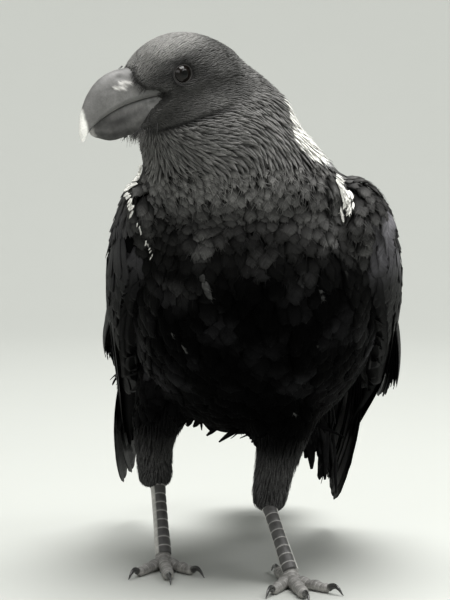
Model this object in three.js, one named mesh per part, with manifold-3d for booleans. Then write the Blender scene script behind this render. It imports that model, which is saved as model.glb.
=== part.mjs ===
// A life-size standing white-necked raven as closed solids, in millimetres, +Z up.
// The bird faces -Y with its head turned to its own right (-X); its feet stand on z = 0.
import * as THREE from "three";
import { mergeVertices } from "three/addons/utils/BufferGeometryUtils.js";
import Module from "manifold-3d";

const wasm = await Module();
wasm.setup();

// ---- driving sizes, mm and degrees ----
const GAP = 0.32; // clearance between neighbouring pieces
const HEAD = { x: -40.5, y: -67, z: 320.5, yaw: 60, pitch: 21, roll: 0, scale: 0.868 };
const EYE = { f: 2.4, side: 13.2, up: 1.9, r: 8.2, dish: 13, dishAt: 30.3 };
// the planes that part head from neck, in the head's frame, and neck from trunk
const PART_HEAD = { f: 3, up: -17.5, pitch: 11 };
const PART_NECK = { y: -30, z: 243, pitch: -14 };
const TARSUS = { top: 6.0, shaft: 4.7, foot: 5.4, depth: 1.1 };
const ANKLE = { left: [16, 27, 52], right: [-55, 82, 58] };
const FOOT = {
  left: { at: [31.5, -12, 9.6], heading: 10 },
  right: { at: [-50, 46, 9.6], heading: 6 },
};
// toe: spread from the foot's heading in degrees, length along the floor, root radius, claw length
const TOES = {
  1: { spread: 176, length: 27, r: 4.3, claw: 17 },
  2: { spread: 30, length: 32, r: 3.9, claw: 13 },
  3: { spread: 0, length: 44, r: 4.3, claw: 15 },
  4: { spread: -32, length: 34, r: 3.8, claw: 12.5 },
};
const V = (x, y, z) => new THREE.Vector3(x, y, z);
const rad = THREE.MathUtils.degToRad;

// ---- shape helpers ----
function catmull(a, b, c, d, t) {
  return (
    0.5 *
    (2 * b + (c - a) * t + (2 * a - 5 * b + 4 * c - d) * t * t + (3 * b - a - 3 * c + d) * t ** 3)
  );
}
// Rows of numbers resampled to `count` rows along a smooth curve through them.
function smoothRows(rows, count) {
  const out = [];
  for (let i = 0; i < count; i++) {
    const s = (i / (count - 1)) * (rows.length - 1);
    const k = Math.min(Math.floor(s), rows.length - 2);
    const row = (j) => rows[THREE.MathUtils.clamp(j, 0, rows.length - 1)];
    out.push(row(k).map((_, c) => catmull(row(k - 1)[c], row(k)[c], row(k + 1)[c], row(k + 2)[c], s - k)));
  }
  return out;
}
// A closed surface through rings of equal length; each end closes on a point in its middle.
function loft(rings) {
  const n = rings[0].length;
  const p = rings.flat().concat(
    [rings[0], rings.at(-1)].map((r) => r.reduce((s, v) => s.add(v), V(0, 0, 0)).divideScalar(n)),
  );
  const index = [];
  for (let i = 0; i + 1 < rings.length; i++)
    for (let j = 0; j < n; j++) {
      const a = i * n + j,
        b = i * n + ((j + 1) % n);
      index.push(a, b, a + n, b, b + n, a + n);
    }
  const first = rings.length * n,
    last = first + 1,
    off = (rings.length - 1) * n;
  for (let j = 0; j < n; j++) {
    index.push(first, (j + 1) % n, j);
    index.push(last, off + j, off + ((j + 1) % n));
  }
  const g = new THREE.BufferGeometry().setFromPoints(p);
  g.setIndex(index);
  return g;
}
function solid(geometry, matrix) {
  const g = geometry.clone();
  g.deleteAttribute("normal");
  g.deleteAttribute("uv");
  if (matrix) g.applyMatrix4(matrix);
  const m = mergeVertices(g, 1e-4);
  const made = new wasm.Manifold(
    new wasm.Mesh({
      numProp: 3,
      vertProperties: new Float32Array(m.attributes.position.array),
      triVerts: new Uint32Array(m.index.array),
    }),
  );
  if (made.volume() > 0) return made;
  const t = m.index.array;
  for (let i = 0; i < t.length; i += 3) [t[i + 1], t[i + 2]] = [t[i + 2], t[i + 1]];
  return new wasm.Manifold(
    new wasm.Mesh({
      numProp: 3,
      vertProperties: new Float32Array(m.attributes.position.array),
      triVerts: new Uint32Array(t),
    }),
  );
}
// The half of space above (side 1) or below (side -1) a plane, less half the clearance.
function halfSpace(matrix, side) {
  const g = new THREE.BoxGeometry(900, 900, 500);
  g.translate(0, 0, side * (250 + GAP / 2));
  return solid(g, matrix);
}
// The largest piece of a solid, so that a cut never leaves a crumb.
const largest = (s) => s.decompose().sort((a, b) => b.volume() - a.volume())[0];
const union = (list) => list.reduce((a, b) => a.add(b));
function geometryOf(s) {
  const m = s.getMesh(),
    v = new Float32Array(m.numVert * 3);
  for (let i = 0; i < m.numVert; i++) v.set(m.vertProperties.subarray(i * m.numProp, i * m.numProp + 3), i * 3);
  const g = new THREE.BufferGeometry();
  g.setAttribute("position", new THREE.BufferAttribute(v, 3));
  g.setIndex(new THREE.BufferAttribute(new Uint32Array(m.triVerts), 1));
  g.computeVertexNormals();
  return g;
}
const power = (v, p) => Math.sign(v) * Math.abs(v) ** p;

// A limb or trunk: rows of [x, y, z, half width, front depth, back depth, twist in degrees],
// each section square to the path, its width turned about the path by the twist.
function limb(rows, count, around, { grow = 0, square = 0.94, floor = null, level = false } = {}) {
  const r = smoothRows(rows, count);
  const at = (i) => V(...r[THREE.MathUtils.clamp(i, 0, count - 1)].slice(0, 3));
  return loft(
    r.map((row, i) => {
      const tangent = level ? V(0, 0, -1) : at(i + 1).sub(at(i - 1)).normalize();
      const twist = rad(row[6] ?? 0);
      const wide = V(Math.cos(twist), Math.sin(twist), 0);
      wide.addScaledVector(tangent, -wide.dot(tangent)).normalize();
      const front = V(0, 0, 0).crossVectors(tangent, wide).normalize();
      const end = i === 0 ? -grow : i === count - 1 ? grow : 0;
      return Array.from({ length: around }, (_, j) => {
        const a = (2 * Math.PI * (j + 0.5)) / around,
          s = Math.sin(a);
        const p = at(i)
          .addScaledVector(tangent, end)
          .addScaledVector(wide, (row[3] + grow) * power(Math.cos(a), square))
          .addScaledVector(front, ((s > 0 ? row[4] : row[5]) + grow) * power(s, square));
        if (floor !== null && p.z < floor) p.z = floor;
        return p;
      });
    }),
  );
}

// ---- trunk and neck ----
const TRUNK_ROWS = [
  [4, -20, 267, 18, 14, 10],
  [5, -19, 260, 42, 40, 22],
  [7, -16, 249, 60, 58, 34],
  [8, -10, 235, 72, 68, 44],
  [9, 0, 217, 80, 78, 51],
  [10, 16, 195, 84, 84, 54],
  [10, 38, 173, 82, 83, 52],
  [11, 66, 152, 72, 74, 46],
  [12, 94, 139, 55, 50, 36],
  [13, 120, 131, 33, 28, 24],
  [14, 138, 126, 13, 11, 11],
];
// the neck's sections lie level
const NECK_ROWS = [
  [-16, -48.5, 330, 20.5, 15, 17, 30],
  [-14, -47.5, 319, 32.8, 23, 24.5, 30],
  [-13, -45.6, 305, 45.2, 34, 34, 26],
  [-13.4, -42, 291, 50.2, 41, 40, 20],
  [-8.8, -37, 279, 55.4, 45, 44, 14],
  [-2, -31, 266, 59.4, 48, 46, 8],
  [4, -24, 250, 66, 52, 46, 0],
  [7, -14, 233, 62, 54, 42, 0],
  [8, -6, 216, 44, 44, 30, 0],
];
const trunk = (grow = 0) => solid(limb(TRUNK_ROWS, 14, 22, { grow }));
const neck = (grow = 0) => solid(limb(NECK_ROWS, 10, 20, { grow, level: true }));

// ---- head, in its own frame: x forward to the bill, y to the bird's left, z up ----
const headMatrix = new THREE.Matrix4()
  .makeTranslation(HEAD.x, HEAD.y, HEAD.z)
  .multiply(new THREE.Matrix4().makeRotationZ(rad(-90 - HEAD.yaw)))
  .multiply(new THREE.Matrix4().makeRotationY(rad(HEAD.pitch)))
  .multiply(new THREE.Matrix4().makeRotationX(rad(HEAD.roll)))
  .multiply(new THREE.Matrix4().makeScale(HEAD.scale, HEAD.scale, HEAD.scale));
// rows of [x, top, widest height, bottom, half width]
const HEAD_ROWS = [
  [50, -15, -18, -23, 5.5],
  [42, 10, -8, -25.5, 9],
  [34, 17, -4, -26.5, 11.6],
  [25, 23.2, -3, -27.5, 14.2],
  [14, 27.1, -2, -28.5, 17.6],
  [2, 28.4, -3, -30, 20.6],
  [-10, 27.2, -5, -32, 23.2],
  [-22, 22.8, -8, -33, 24.6],
  [-33, 15.2, -10, -32, 23.4],
  [-43, 5.8, -12, -28, 18.4],
  [-51, -4.8, -15, -22, 8],
];
function headShape(grow = 0) {
  const rows = smoothRows(HEAD_ROWS, 14);
  return loft(
    rows.map(([x, top, mid, bottom, half], i) =>
      Array.from({ length: 22 }, (_, j) => {
        const a = (2 * Math.PI * (j + 0.5)) / 22,
          s = Math.sin(a);
        return V(
          x + (i === 0 ? grow : i === rows.length - 1 ? -grow : 0),
          (half + grow) * power(Math.cos(a), 0.92),
          mid + ((s > 0 ? top - mid : mid - bottom) + grow) * power(s, 0.94),
        );
      }),
    ),
  );
}
// The outline where feathering ends and bare bill begins, seen from the side; the bill lies inside it.
const FACE_EDGE = [
  [31, 30], [32.5, 18], [33, 8], [29, 1.5], [22, -1.5], [15.5, -6.5], [15, -11.5],
  [24, -14.5], [34, -18], [43, -22.5], [47, -26.5], [50, -34],
];
function facePrism(inset) {
  const s = new THREE.Shape();
  FACE_EDGE.forEach(([x, z], i) => (i ? s.lineTo(x + inset, z) : s.moveTo(x + inset, z)));
  s.lineTo(110, -34);
  s.lineTo(110, 30);
  s.closePath();
  const g = new THREE.ExtrudeGeometry(s, { depth: 80, bevelEnabled: false, steps: 1 });
  g.rotateX(Math.PI / 2);
  g.translate(0, 40, 0);
  return g;
}
// rows of [ridge x, ridge z, edge x, edge z, half width]
const BILL_ROWS = [
  [16, 17, 9, -9.4, 11.2],
  [32, 17.8, 24, -6.2, 10.4],
  [41.5, 19.3, 35, -4.5, 9.8],
  [51, 18.8, 45, -3.9, 9.0],
  [59.8, 15.8, 54, -4.4, 8.0],
  [67, 11.0, 61.5, -5.7, 6.8],
  [73.2, 4.8, 68.2, -7.6, 5.5],
  [78.2, -2.6, 73.6, -10, 4.1],
  [81.6, -10, 78, -13.4, 2.7],
  [82.4, -16.4, 81, -17.4, 0.9],
];
const JAW_ROWS = [
  [9, -9.2, 12, -22.5, 9.6],
  [24, -5.9, 30, -25.2, 9.4],
  [35, -4.2, 43, -26.0, 8.9],
  [45, -3.6, 53, -25.6, 8.1],
  [54, -4.1, 59.5, -24.8, 7.0],
  [61.5, -5.4, 64.8, -22.6, 5.7],
  [67.4, -7.1, 68.8, -19.8, 4.4],
  [71.8, -9.4, 72, -17.6, 2.9],
  [74.4, -12.2, 74, -15.4, 1.0],
];
function billShape(rows, count, ridge) {
  const half = 8;
  return loft(
    smoothRows(rows, count).map(([rx, rz, ex, ez, w]) => {
      const ring = Array.from({ length: half + 1 }, (_, j) => {
        const a = (Math.PI * j) / half,
          lift = Math.sin(a) ** ridge;
        return V(ex + (rx - ex) * lift, w * Math.cos(a), ez + (rz - ez) * lift);
      });
      ring.push(V(ex, -w * 0.5, ez + (rz > ez ? 0.25 : -0.25)), V(ex, w * 0.5, ez + (rz > ez ? 0.25 : -0.25)));
      return ring;
    }),
  );
}
const eyeBall = (side, grow = 0) => {
  const g = new THREE.SphereGeometry(EYE.r + grow, 12, 8);
  g.rotateX(Math.PI / 2);
  g.translate(EYE.f, side * EYE.side, EYE.up);
  return solid(g, headMatrix);
};
// the shallow dish in the side of the head where the eye sits
const eyeDish = (side) => {
  const g = new THREE.SphereGeometry(EYE.dish, 16, 10);
  g.rotateX(Math.PI / 2);
  g.translate(EYE.f, side * EYE.dishAt, EYE.up);
  return solid(g, headMatrix);
};

// ---- the body whole, before it is parted ----
const body = trunk().add(neck()).add(solid(headShape(), headMatrix));
const bodyGrown = trunk(GAP).add(neck(GAP));

// ---- wings ----
// A folded wing is a curved band over the flank. Rows of [y, z, half height down, half height up,
// x of the outer face from the body's middle, how far the upper edge leans inward, half thickness].
const WING_ROWS = [
  [-50, 243, 10, 10, 71, 6, 5],
  [-44, 241, 26, 20, 82, 14, 11],
  [-20, 234, 42, 31, 92, 26, 14],
  [12, 214, 50, 36, 98, 36, 13.5],
  [46, 187, 50, 38, 99.5, 44, 11],
  [82, 156, 44, 34, 97.5, 44, 8],
  [114, 126, 35, 28, 92.5, 36, 5.5],
  [140, 99, 24, 21, 86.5, 26, 3.6],
  [160, 77, 14, 13, 82, 15, 2.4],
  [172, 62, 5, 5, 79.5, 5, 1.6],
];
const WINGS = {
  left: { side: 1, middle: 10.5, tip: [67, 190, 22], edge: [94, 115], root: 70, shoulder: 3, sway: -10, lift: -2 },
  right: { side: -1, middle: 7, tip: [-79, 218, 33], edge: [96, 136], root: 84, shoulder: 5, sway: -7, lift: 6.5 },
};
// Point on a wing's band: along 0..1 from wrist to rear, across -1 (lower edge) .. 1 (upper edge).
function wingPoint(wing, rows, i, across, out) {
  const [y, z, down, up, x, lean, thick] = rows[i];
  const before = rows[Math.max(i - 1, 0)],
    after = rows[Math.min(i + 1, rows.length - 1)];
  const chord = V(0, after[0] - before[0], after[1] - before[1]).normalize();
  const rise = V(0, -chord.z, chord.y);
  const h = across * (across > 0 ? up : down);
  const q = (across + 1) / 2;
  const edge = Math.sqrt(Math.max(0, 1 - across ** 4));
  const pinch = wing.shoulder * (1 - THREE.MathUtils.smoothstep(y, -20, 50));
  const inward = lean * q ** 2.4 + 0.35 * lean * (1 - q) ** 4;
  const sway = wing.sway * THREE.MathUtils.smoothstep(y, 88, 158); // the rear of both wings hangs over to one side
  return V(wing.middle + sway + wing.side * (x - pinch - inward - thick + out * thick * edge), y, z + wing.lift * (1 - THREE.MathUtils.smoothstep(y, -10, 60))).addScaledVector(rise, h);
}
function wingBand(wing, grow = 0) {
  const rows = smoothRows(WING_ROWS, 11).map((r) => [r[0], r[1], r[2] + grow, r[3] + grow, r[4], r[5], r[6] + grow]);
  const n = 8;
  return solid(
    loft(
      rows.map((_, i) => {
        const ring = [];
        for (let j = 0; j < n; j++) ring.push(wingPoint(wing, rows, i, -1 + (2 * j) / (n - 1) , 1));
        for (let j = n - 2; j > 0; j--) ring.push(wingPoint(wing, rows, i, -1 + (2 * j) / (n - 1), -1));
        return ring;
      }),
    ),
  );
}
// A flight feather: a thin lens from root to tip, bowed, `face` being the way its flat side looks.
function vane(root, tip, width, face, thick, bow = 0, count = 4) {
  const along = tip.clone().sub(root);
  const side = V(0, 0, 0).crossVectors(along, face).normalize();
  const out = V(0, 0, 0).crossVectors(side, along).normalize();
  const rings = [];
  for (let i = 0; i < count; i++) {
    const t = i / (count - 1);
    const w = (width / 2) * Math.min(1, 0.55 + 1.6 * t) * (t > 0.72 ? Math.cos(((t - 0.72) / 0.28) * 1.42) ** 0.62 : 1);
    const k = thick * (1 - 0.55 * t);
    const c = root.clone().addScaledVector(along, t).addScaledVector(out, bow * 4 * t * (1 - t));
    rings.push(
      [[-1, 0], [0, -1.25], [1, 0], [0, 1.25]].map(([a, b]) =>
        c.clone().addScaledVector(side, a * w).addScaledVector(out, b * k),
      ),
    );
  }
  return solid(loft(rings));
}
function wing(name) {
  const w = WINGS[name],
    tip = V(...w.tip);
  const parts = [wingBand(w)];
  const x = (v) => w.middle + w.side * v;
  // primaries: tips step back up the wing from the point
  const back = V(0, -0.76, 0.65);
  for (let i = 0; i < 5; i++) {
    const end = tip.clone().addScaledVector(back, i * 18 + (i > 0 ? 4 : 0)).add(V(-w.side * i * 3.9, i * 1.6, i * 1.2));
    parts.push(vane(V(x(w.root - i * 3.2), 88 + i * 5, 128 + i * 8), end, 26, V(w.side, 0.12, 0.3), 2.0, 5));
  }
  // outer secondaries: tips stand clear of the flank low on the wing
  for (let i = 0; i < 4; i++)
    parts.push(
      vane(
        V(x(86), 22 + i * 16, 180 - i * 8),
        V(x(w.edge[0] - i * 2.5), 84 + i * 22, w.edge[1] - i * 5 + (i % 2) * 3),
        25,
        V(w.side, -0.15, 0.1),
        1.9,
        4,
      ),
    );
  return largest(union(parts).subtract(bodyGrown));
}

// ---- tail: seven overlapping pairs seen as blades, middle ones longest ----
const TAIL = { root: [13.5, 118, 128], tip: [21, 268, 62], fan: 11.5, width: 29, blades: 5, drop: 2.4 };
function tail() {
  const root = V(...TAIL.root),
    tip = V(...TAIL.tip),
    mid = (TAIL.blades - 1) / 2;
  const list = [];
  for (let i = 0; i < TAIL.blades; i++) {
    const k = i - mid;
    const end = tip.clone().add(V(k * TAIL.fan, -3.4 * Math.abs(k) ** 1.4, -Math.abs(k) * TAIL.drop));
    list.push(vane(root.clone().add(V(k * 4, 0, -Math.abs(k) * 1.1)), end, TAIL.width, V(k * 0.09, 0.35, 1), 2.1, 2));
  }
  return largest(union(list).subtract(bodyGrown));
}

// ---- legs ----
const THIGH_ROWS = {
  left: [
    [31, 14, 130, 26, 30, 26],
    [29, 13, 112, 24, 27, 25],
    [27, 15, 95, 19, 22, 21],
    [24.5, 19, 78, 15, 17, 17],
    [21, 22.5, 62, 13.2, 14, 14],
    [19.6, 24, 52, 12.8, 12.8, 12.8],
    [19, 25, 45, 11.4, 11.4, 11.4],
    [18.8, 25.5, 41, 8, 8, 8],
  ],
  right: [
    [-36, 44, 136, 26, 30, 26],
    [-44, 48, 118, 23, 26, 25],
    [-52, 58, 99, 17.5, 20, 21],
    [-56, 68, 83, 14.4, 16, 17],
    [-56.5, 76, 69, 13, 13.8, 14],
    [-56, 79, 58, 12.8, 12.8, 12.8],
    [-55.5, 81, 51, 11.4, 11.4, 11.4],
    [-55.3, 81.5, 47, 8, 8, 8],
  ],
};
const thigh = (name, grow = 0) => solid(limb(THIGH_ROWS[name], 9, 14, { grow, square: 1 }));
function tarsus(name, grow = 0) {
  const a = ANKLE[name],
    b = FOOT[name].at;
  const rows = [-0.1, 0.0, 0.12, 0.3, 0.55, 0.8, 0.93, 1.0, 1.06].map((t) => {
    const r =
      t < 0.3
        ? THREE.MathUtils.lerp(TARSUS.top, TARSUS.shaft, THREE.MathUtils.smoothstep(t, 0, 0.3))
        : THREE.MathUtils.lerp(TARSUS.shaft, TARSUS.foot, THREE.MathUtils.smoothstep(t, 0.62, 0.96));
    const end = t < 0 || t > 1 ? 0.72 : 1;
    return [a[0] + (b[0] - a[0]) * t, a[1] + (b[1] - a[1]) * t, a[2] + (b[2] - a[2]) * t, r * end, r * TARSUS.depth * end, r * TARSUS.depth * end];
  });
  return solid(limb(rows, 9, 10, { grow, square: 1, floor: 2.2 }));
}
// A toe with its joints' pads, flat where it stands on the floor.
function toeRows(name, toe) {
  const f = FOOT[name],
    t = TOES[toe],
    side = name === "left" ? -1 : 1;
  const angle = rad(f.heading + side * t.spread);
  const dir = V(Math.sin(angle), -Math.cos(angle), 0);
  const pads = toe === "1" ? 2 : toe === "3" ? 3.5 : 3;
  const rows = [];
  for (let i = 0; i <= 8; i++) {
    const s = i / 8,
      r = t.r * (1 - 0.24 * s) * (1 + 0.09 * Math.cos(2 * Math.PI * pads * s));
    const h = s < 0.2 ? THREE.MathUtils.lerp(7.6, r * 0.88, (s / 0.2) ** 0.8) : r * 0.88;
    rows.push([f.at[0] + dir.x * (1 + t.length * s), f.at[1] + dir.y * (1 + t.length * s), h, r * (i === 8 ? 0.7 : 1), r, r]);
  }
  return { rows, dir };
}
function sweep(rows, count, around, dir, { grow = 0, floor = null } = {}) {
  const side = V(-dir.y, dir.x, 0);
  return loft(
    smoothRows(rows, count).map((row, i, all) => {
      const p0 = all[Math.max(i - 1, 0)],
        p1 = all[Math.min(i + 1, all.length - 1)];
      const tangent = V(p1[0] - p0[0], p1[1] - p0[1], p1[2] - p0[2]).normalize();
      const up = V(0, 0, 0).crossVectors(tangent, side).normalize();
      const end = i === 0 ? -grow : i === count - 1 ? grow : 0;
      return Array.from({ length: around }, (_, j) => {
        const a = (2 * Math.PI * (j + 0.5)) / around;
        const p = V(...row.slice(0, 3))
          .addScaledVector(tangent, end)
          .addScaledVector(side, (row[3] + grow) * Math.cos(a))
          .addScaledVector(up, (row[4] + grow) * Math.sin(a));
        if (floor !== null && p.z < floor) p.z = floor;
        return p;
      });
    }),
  );
}
function toe(name, n, grow = 0) {
  const { rows, dir } = toeRows(name, n);
  return solid(sweep(rows, 7, 8, dir, { grow, floor: grow ? -grow : 0 }));
}
function claw(name, n) {
  const { rows, dir } = toeRows(name, n),
    end = rows.at(-1),
    length = TOES[n].claw;
  const list = [];
  for (let i = 0; i <= 6; i++) {
    const s = i / 6,
      r = 2.3 * (1 - s) ** 0.8 + 0.28;
    const arch = 2.7 * Math.sin(Math.PI * Math.min(1, s)) + 0.5 * (1 - s) - 3.2 * s ** 1.6;
    list.push([end[0] + dir.x * (length * s + GAP + 0.85), end[1] + dir.y * (length * s + GAP + 0.85), Math.max(end[2] + arch, r + 0.35), r * 0.8, r]);
  }
  return solid(sweep(list, 5, 6, dir));
}

// ---- colours ----
const paint = (hex, roughness, metalness = 0) => new THREE.MeshStandardMaterial({ color: hex, roughness, metalness });
const PLUMAGE = paint(0x17171a, 0.5),
  NECK_PLUMAGE = paint(0x29272a, 0.6),
  HEAD_PLUMAGE = paint(0x343231, 0.62),
  BILL = paint(0x3b3a39, 0.35),
  HORN = paint(0x2c2a28, 0.4),
  SCALE = paint(0x2d2b2a, 0.45),
  IRIS = paint(0x150d08, 0.08);

// ---- assembly ----
const raven = new THREE.Group();
function add(name, s, material) {
  const mesh = new THREE.Mesh(geometryOf(largest(s)), material);
  mesh.name = name;
  raven.add(mesh);
}
const prism = (inset) => solid(facePrism(inset), headMatrix);
const above = headMatrix
  .clone()
  .multiply(new THREE.Matrix4().makeTranslation(PART_HEAD.f, 0, PART_HEAD.up))
  .multiply(new THREE.Matrix4().makeRotationY(rad(PART_HEAD.pitch)));
const below = new THREE.Matrix4()
  .makeTranslation(0, PART_NECK.y, PART_NECK.z)
  .multiply(new THREE.Matrix4().makeRotationX(rad(PART_NECK.pitch)));
let head = body.intersect(halfSpace(above, 1)).subtract(prism(0));
for (const side of [1, -1]) head = head.subtract(eyeDish(side)).subtract(eyeBall(side, GAP));
add("head", head, HEAD_PLUMAGE);
const upper = (drop) => {
  const g = billShape(BILL_ROWS, 14, 0.72);
  g.translate(0, 0, -drop / HEAD.scale);
  return solid(g, headMatrix);
};
add("bill_upper", upper(0).intersect(prism(GAP)), BILL);
add("bill_lower", solid(billShape(JAW_ROWS, 12, 0.62), headMatrix).intersect(prism(GAP)).subtract(upper(GAP)), BILL);
add("eye_left", eyeBall(1), IRIS);
add("eye_right", eyeBall(-1), IRIS);
add("neck", body.intersect(halfSpace(above, -1)).intersect(halfSpace(below, 1)), NECK_PLUMAGE);
add("trunk", body.intersect(halfSpace(below, -1)), PLUMAGE);
add("tail", tail(), PLUMAGE);
for (const side of ["left", "right"]) {
  add("wing_" + side, wing(side), PLUMAGE);
  add("thigh_" + side, thigh(side).subtract(bodyGrown), PLUMAGE);
  const feet = tarsus(side).subtract(thigh(side, GAP)).subtract(bodyGrown);
  add("tarsus_" + side, feet, SCALE);
  const used = [];
  for (const n of ["3", "1", "2", "4"]) {
    let s = toe(side, n).subtract(tarsus(side, GAP));
    for (const u of used) s = s.subtract(toe(side, u, GAP));
    add("toe_" + side + "_" + n, s, SCALE);
    add("claw_" + side + "_" + n, claw(side, n), HORN);
    used.push(n);
  }
}
// The frame's origin is on the floor, under the middle of the bird's box.
const box = new THREE.Box3().setFromObject(raven);
raven.position.set(-(box.min.x + box.max.x) / 2, -(box.min.y + box.max.y) / 2, 0);
export default raven;
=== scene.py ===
import math

import bmesh
import bpy
import numpy as np
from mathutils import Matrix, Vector
from mathutils.bvhtree import BVHTree


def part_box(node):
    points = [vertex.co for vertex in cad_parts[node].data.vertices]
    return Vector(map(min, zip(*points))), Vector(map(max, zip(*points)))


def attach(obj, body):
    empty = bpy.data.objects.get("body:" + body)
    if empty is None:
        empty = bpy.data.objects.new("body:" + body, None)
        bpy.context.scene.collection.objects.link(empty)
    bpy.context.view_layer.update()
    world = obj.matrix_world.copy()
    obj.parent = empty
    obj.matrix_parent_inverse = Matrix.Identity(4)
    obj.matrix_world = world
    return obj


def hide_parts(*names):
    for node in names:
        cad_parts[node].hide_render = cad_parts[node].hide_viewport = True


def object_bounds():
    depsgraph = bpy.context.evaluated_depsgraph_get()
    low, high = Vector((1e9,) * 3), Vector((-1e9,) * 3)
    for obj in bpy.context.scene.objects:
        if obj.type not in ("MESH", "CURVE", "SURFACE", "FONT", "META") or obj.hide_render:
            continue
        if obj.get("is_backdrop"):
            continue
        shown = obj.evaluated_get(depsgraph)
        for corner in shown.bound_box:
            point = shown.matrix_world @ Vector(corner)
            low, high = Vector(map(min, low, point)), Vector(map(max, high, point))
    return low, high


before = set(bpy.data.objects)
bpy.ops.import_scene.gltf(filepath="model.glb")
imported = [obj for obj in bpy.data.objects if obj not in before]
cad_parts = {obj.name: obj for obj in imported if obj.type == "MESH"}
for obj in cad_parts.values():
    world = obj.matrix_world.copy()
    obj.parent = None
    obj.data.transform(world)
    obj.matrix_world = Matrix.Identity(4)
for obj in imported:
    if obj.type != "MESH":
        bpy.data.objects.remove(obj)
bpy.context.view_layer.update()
rng = np.random.default_rng(7)

# ------------------------------------------------------------------ design sizes, mm
HEAD = dict(x=-40.5, y=-67.0, z=320.5, yaw=60.0, pitch=21.0, scale=0.868)
EYE = dict(f=2.4, side=13.2, up=1.9, r=8.2, dish=13.0, dish_at=30.3)
TRUNK_ROWS = [
    [4, -20, 267, 18, 14, 10], [5, -19, 260, 42, 40, 22], [7, -16, 249, 60, 58, 34],
    [8, -10, 235, 72, 68, 44], [9, 0, 217, 80, 78, 51], [10, 16, 195, 84, 84, 54],
    [10, 38, 173, 82, 83, 52], [11, 66, 152, 72, 74, 46], [12, 94, 139, 55, 50, 36],
    [13, 120, 131, 33, 28, 24], [14, 138, 126, 13, 11, 11],
]
NECK_ROWS = [
    [-16, -48.5, 330, 20.5, 15, 17, 30], [-14, -47.5, 319, 32.8, 23, 24.5, 30], [-13, -45.6, 305, 45.2, 34, 34, 26],
    [-13.4, -42, 291, 50.2, 41, 40, 20], [-8.8, -37, 279, 55.4, 45, 44, 14], [-2, -31, 266, 59.4, 48, 46, 8],
    [4, -24, 250, 66, 52, 46, 0], [7, -14, 233, 62, 54, 42, 0], [8, -6, 216, 44, 44, 30, 0],
]
HEAD_ROWS = [
    [50, -15, -18, -23, 5.5], [42, 10, -8, -25.5, 9], [34, 17, -4, -26.5, 11.6], [25, 23.2, -3, -27.5, 14.2],
    [14, 27.1, -2, -28.5, 17.6], [2, 28.4, -3, -30, 20.6], [-10, 27.2, -5, -32, 23.2], [-22, 22.8, -8, -33, 24.6],
    [-33, 15.2, -10, -32, 23.4], [-43, 5.8, -12, -28, 18.4], [-51, -4.8, -15, -22, 8],
]
FACE_EDGE = [
    [31, 30], [32.5, 18], [33, 8], [29, 1.5], [22, -1.5], [15.5, -6.5], [15, -11.5],
    [24, -14.5], [34, -18], [43, -22.5], [47, -26.5], [50, -34],
]
BILL_ROWS = [
    [16, 17, 9, -9.4, 11.2], [32, 17.8, 24, -6.2, 10.4], [41.5, 19.3, 35, -4.5, 9.8], [51, 18.8, 45, -3.9, 9.0],
    [59.8, 15.8, 54, -4.4, 8.0], [67, 11.0, 61.5, -5.7, 6.8], [73.2, 4.8, 68.2, -7.6, 5.5], [78.2, -2.6, 73.6, -10, 4.1],
    [81.6, -10, 78, -13.4, 2.7], [82.4, -16.4, 81, -17.4, 0.9],
]
JAW_ROWS = [
    [9, -9.2, 12, -22.5, 9.6], [24, -5.9, 30, -25.2, 9.4], [35, -4.2, 43, -26.0, 8.9], [45, -3.6, 53, -25.6, 8.1],
    [54, -4.1, 59.5, -24.8, 7.0], [61.5, -5.4, 64.8, -22.6, 5.7], [67.4, -7.1, 68.8, -19.8, 4.4],
    [71.8, -9.4, 72, -17.6, 2.9], [74.4, -12.2, 74, -15.4, 1.0],
]
WING_ROWS = [
    [-50, 243, 10, 10, 71, 6, 5], [-44, 241, 26, 20, 82, 14, 11], [-20, 234, 42, 31, 92, 26, 14],
    [12, 214, 50, 36, 98, 36, 13.5], [46, 187, 50, 38, 99.5, 44, 11], [82, 156, 44, 34, 97.5, 44, 8],
    [114, 126, 35, 28, 92.5, 36, 5.5], [140, 99, 24, 21, 86.5, 26, 3.6], [160, 77, 14, 13, 82, 15, 2.4],
    [172, 62, 5, 5, 79.5, 5, 1.6],
]
WINGS = {
    "left": dict(side=1, middle=10.5, tip=(67, 190, 22), edge=(94, 115), root=70, shoulder=3, sway=-10, lift=-2),
    "right": dict(side=-1, middle=7, tip=(-79, 218, 33), edge=(96, 136), root=84, shoulder=5, sway=-7, lift=6.5),
}
TAIL = dict(root=(13.5, 118, 128), tip=(21, 268, 62))
THIGH_ROWS = {
    "left": [[31, 14, 130, 26, 30, 26], [29, 13, 112, 24, 27, 25], [27, 15, 95, 19, 22, 21], [24.5, 19, 78, 15, 17, 17],
             [21, 22.5, 62, 13.2, 14, 14], [19.6, 24, 52, 12.8, 12.8, 12.8], [19, 25, 45, 11.4, 11.4, 11.4], [18.8, 25.5, 41, 8, 8, 8]],
    "right": [[-36, 44, 136, 26, 30, 26], [-44, 48, 118, 23, 26, 25], [-52, 58, 99, 17.5, 20, 21], [-56, 68, 83, 14.4, 16, 17],
              [-56.5, 76, 69, 13, 13.8, 14], [-56, 79, 58, 12.8, 12.8, 12.8], [-55.5, 81, 51, 11.4, 11.4, 11.4], [-55.3, 81.5, 47, 8, 8, 8]],
}
TARSUS = dict(top=6.0, shaft=4.9, foot=5.4, depth=1.1)
ANKLE = dict(left=(16, 27, 52), right=(-55, 82, 58))
FOOT = dict(left=dict(at=(31.5, -12, 9.6), heading=10), right=dict(at=(-50, 46, 9.6), heading=6))
TOES = {1: dict(spread=176, length=27, r=4.3, claw=17), 2: dict(spread=30, length=32, r=3.9, claw=13),
        3: dict(spread=0, length=44, r=4.3, claw=15), 4: dict(spread=-32, length=34, r=3.8, claw=12.5)}


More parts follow.
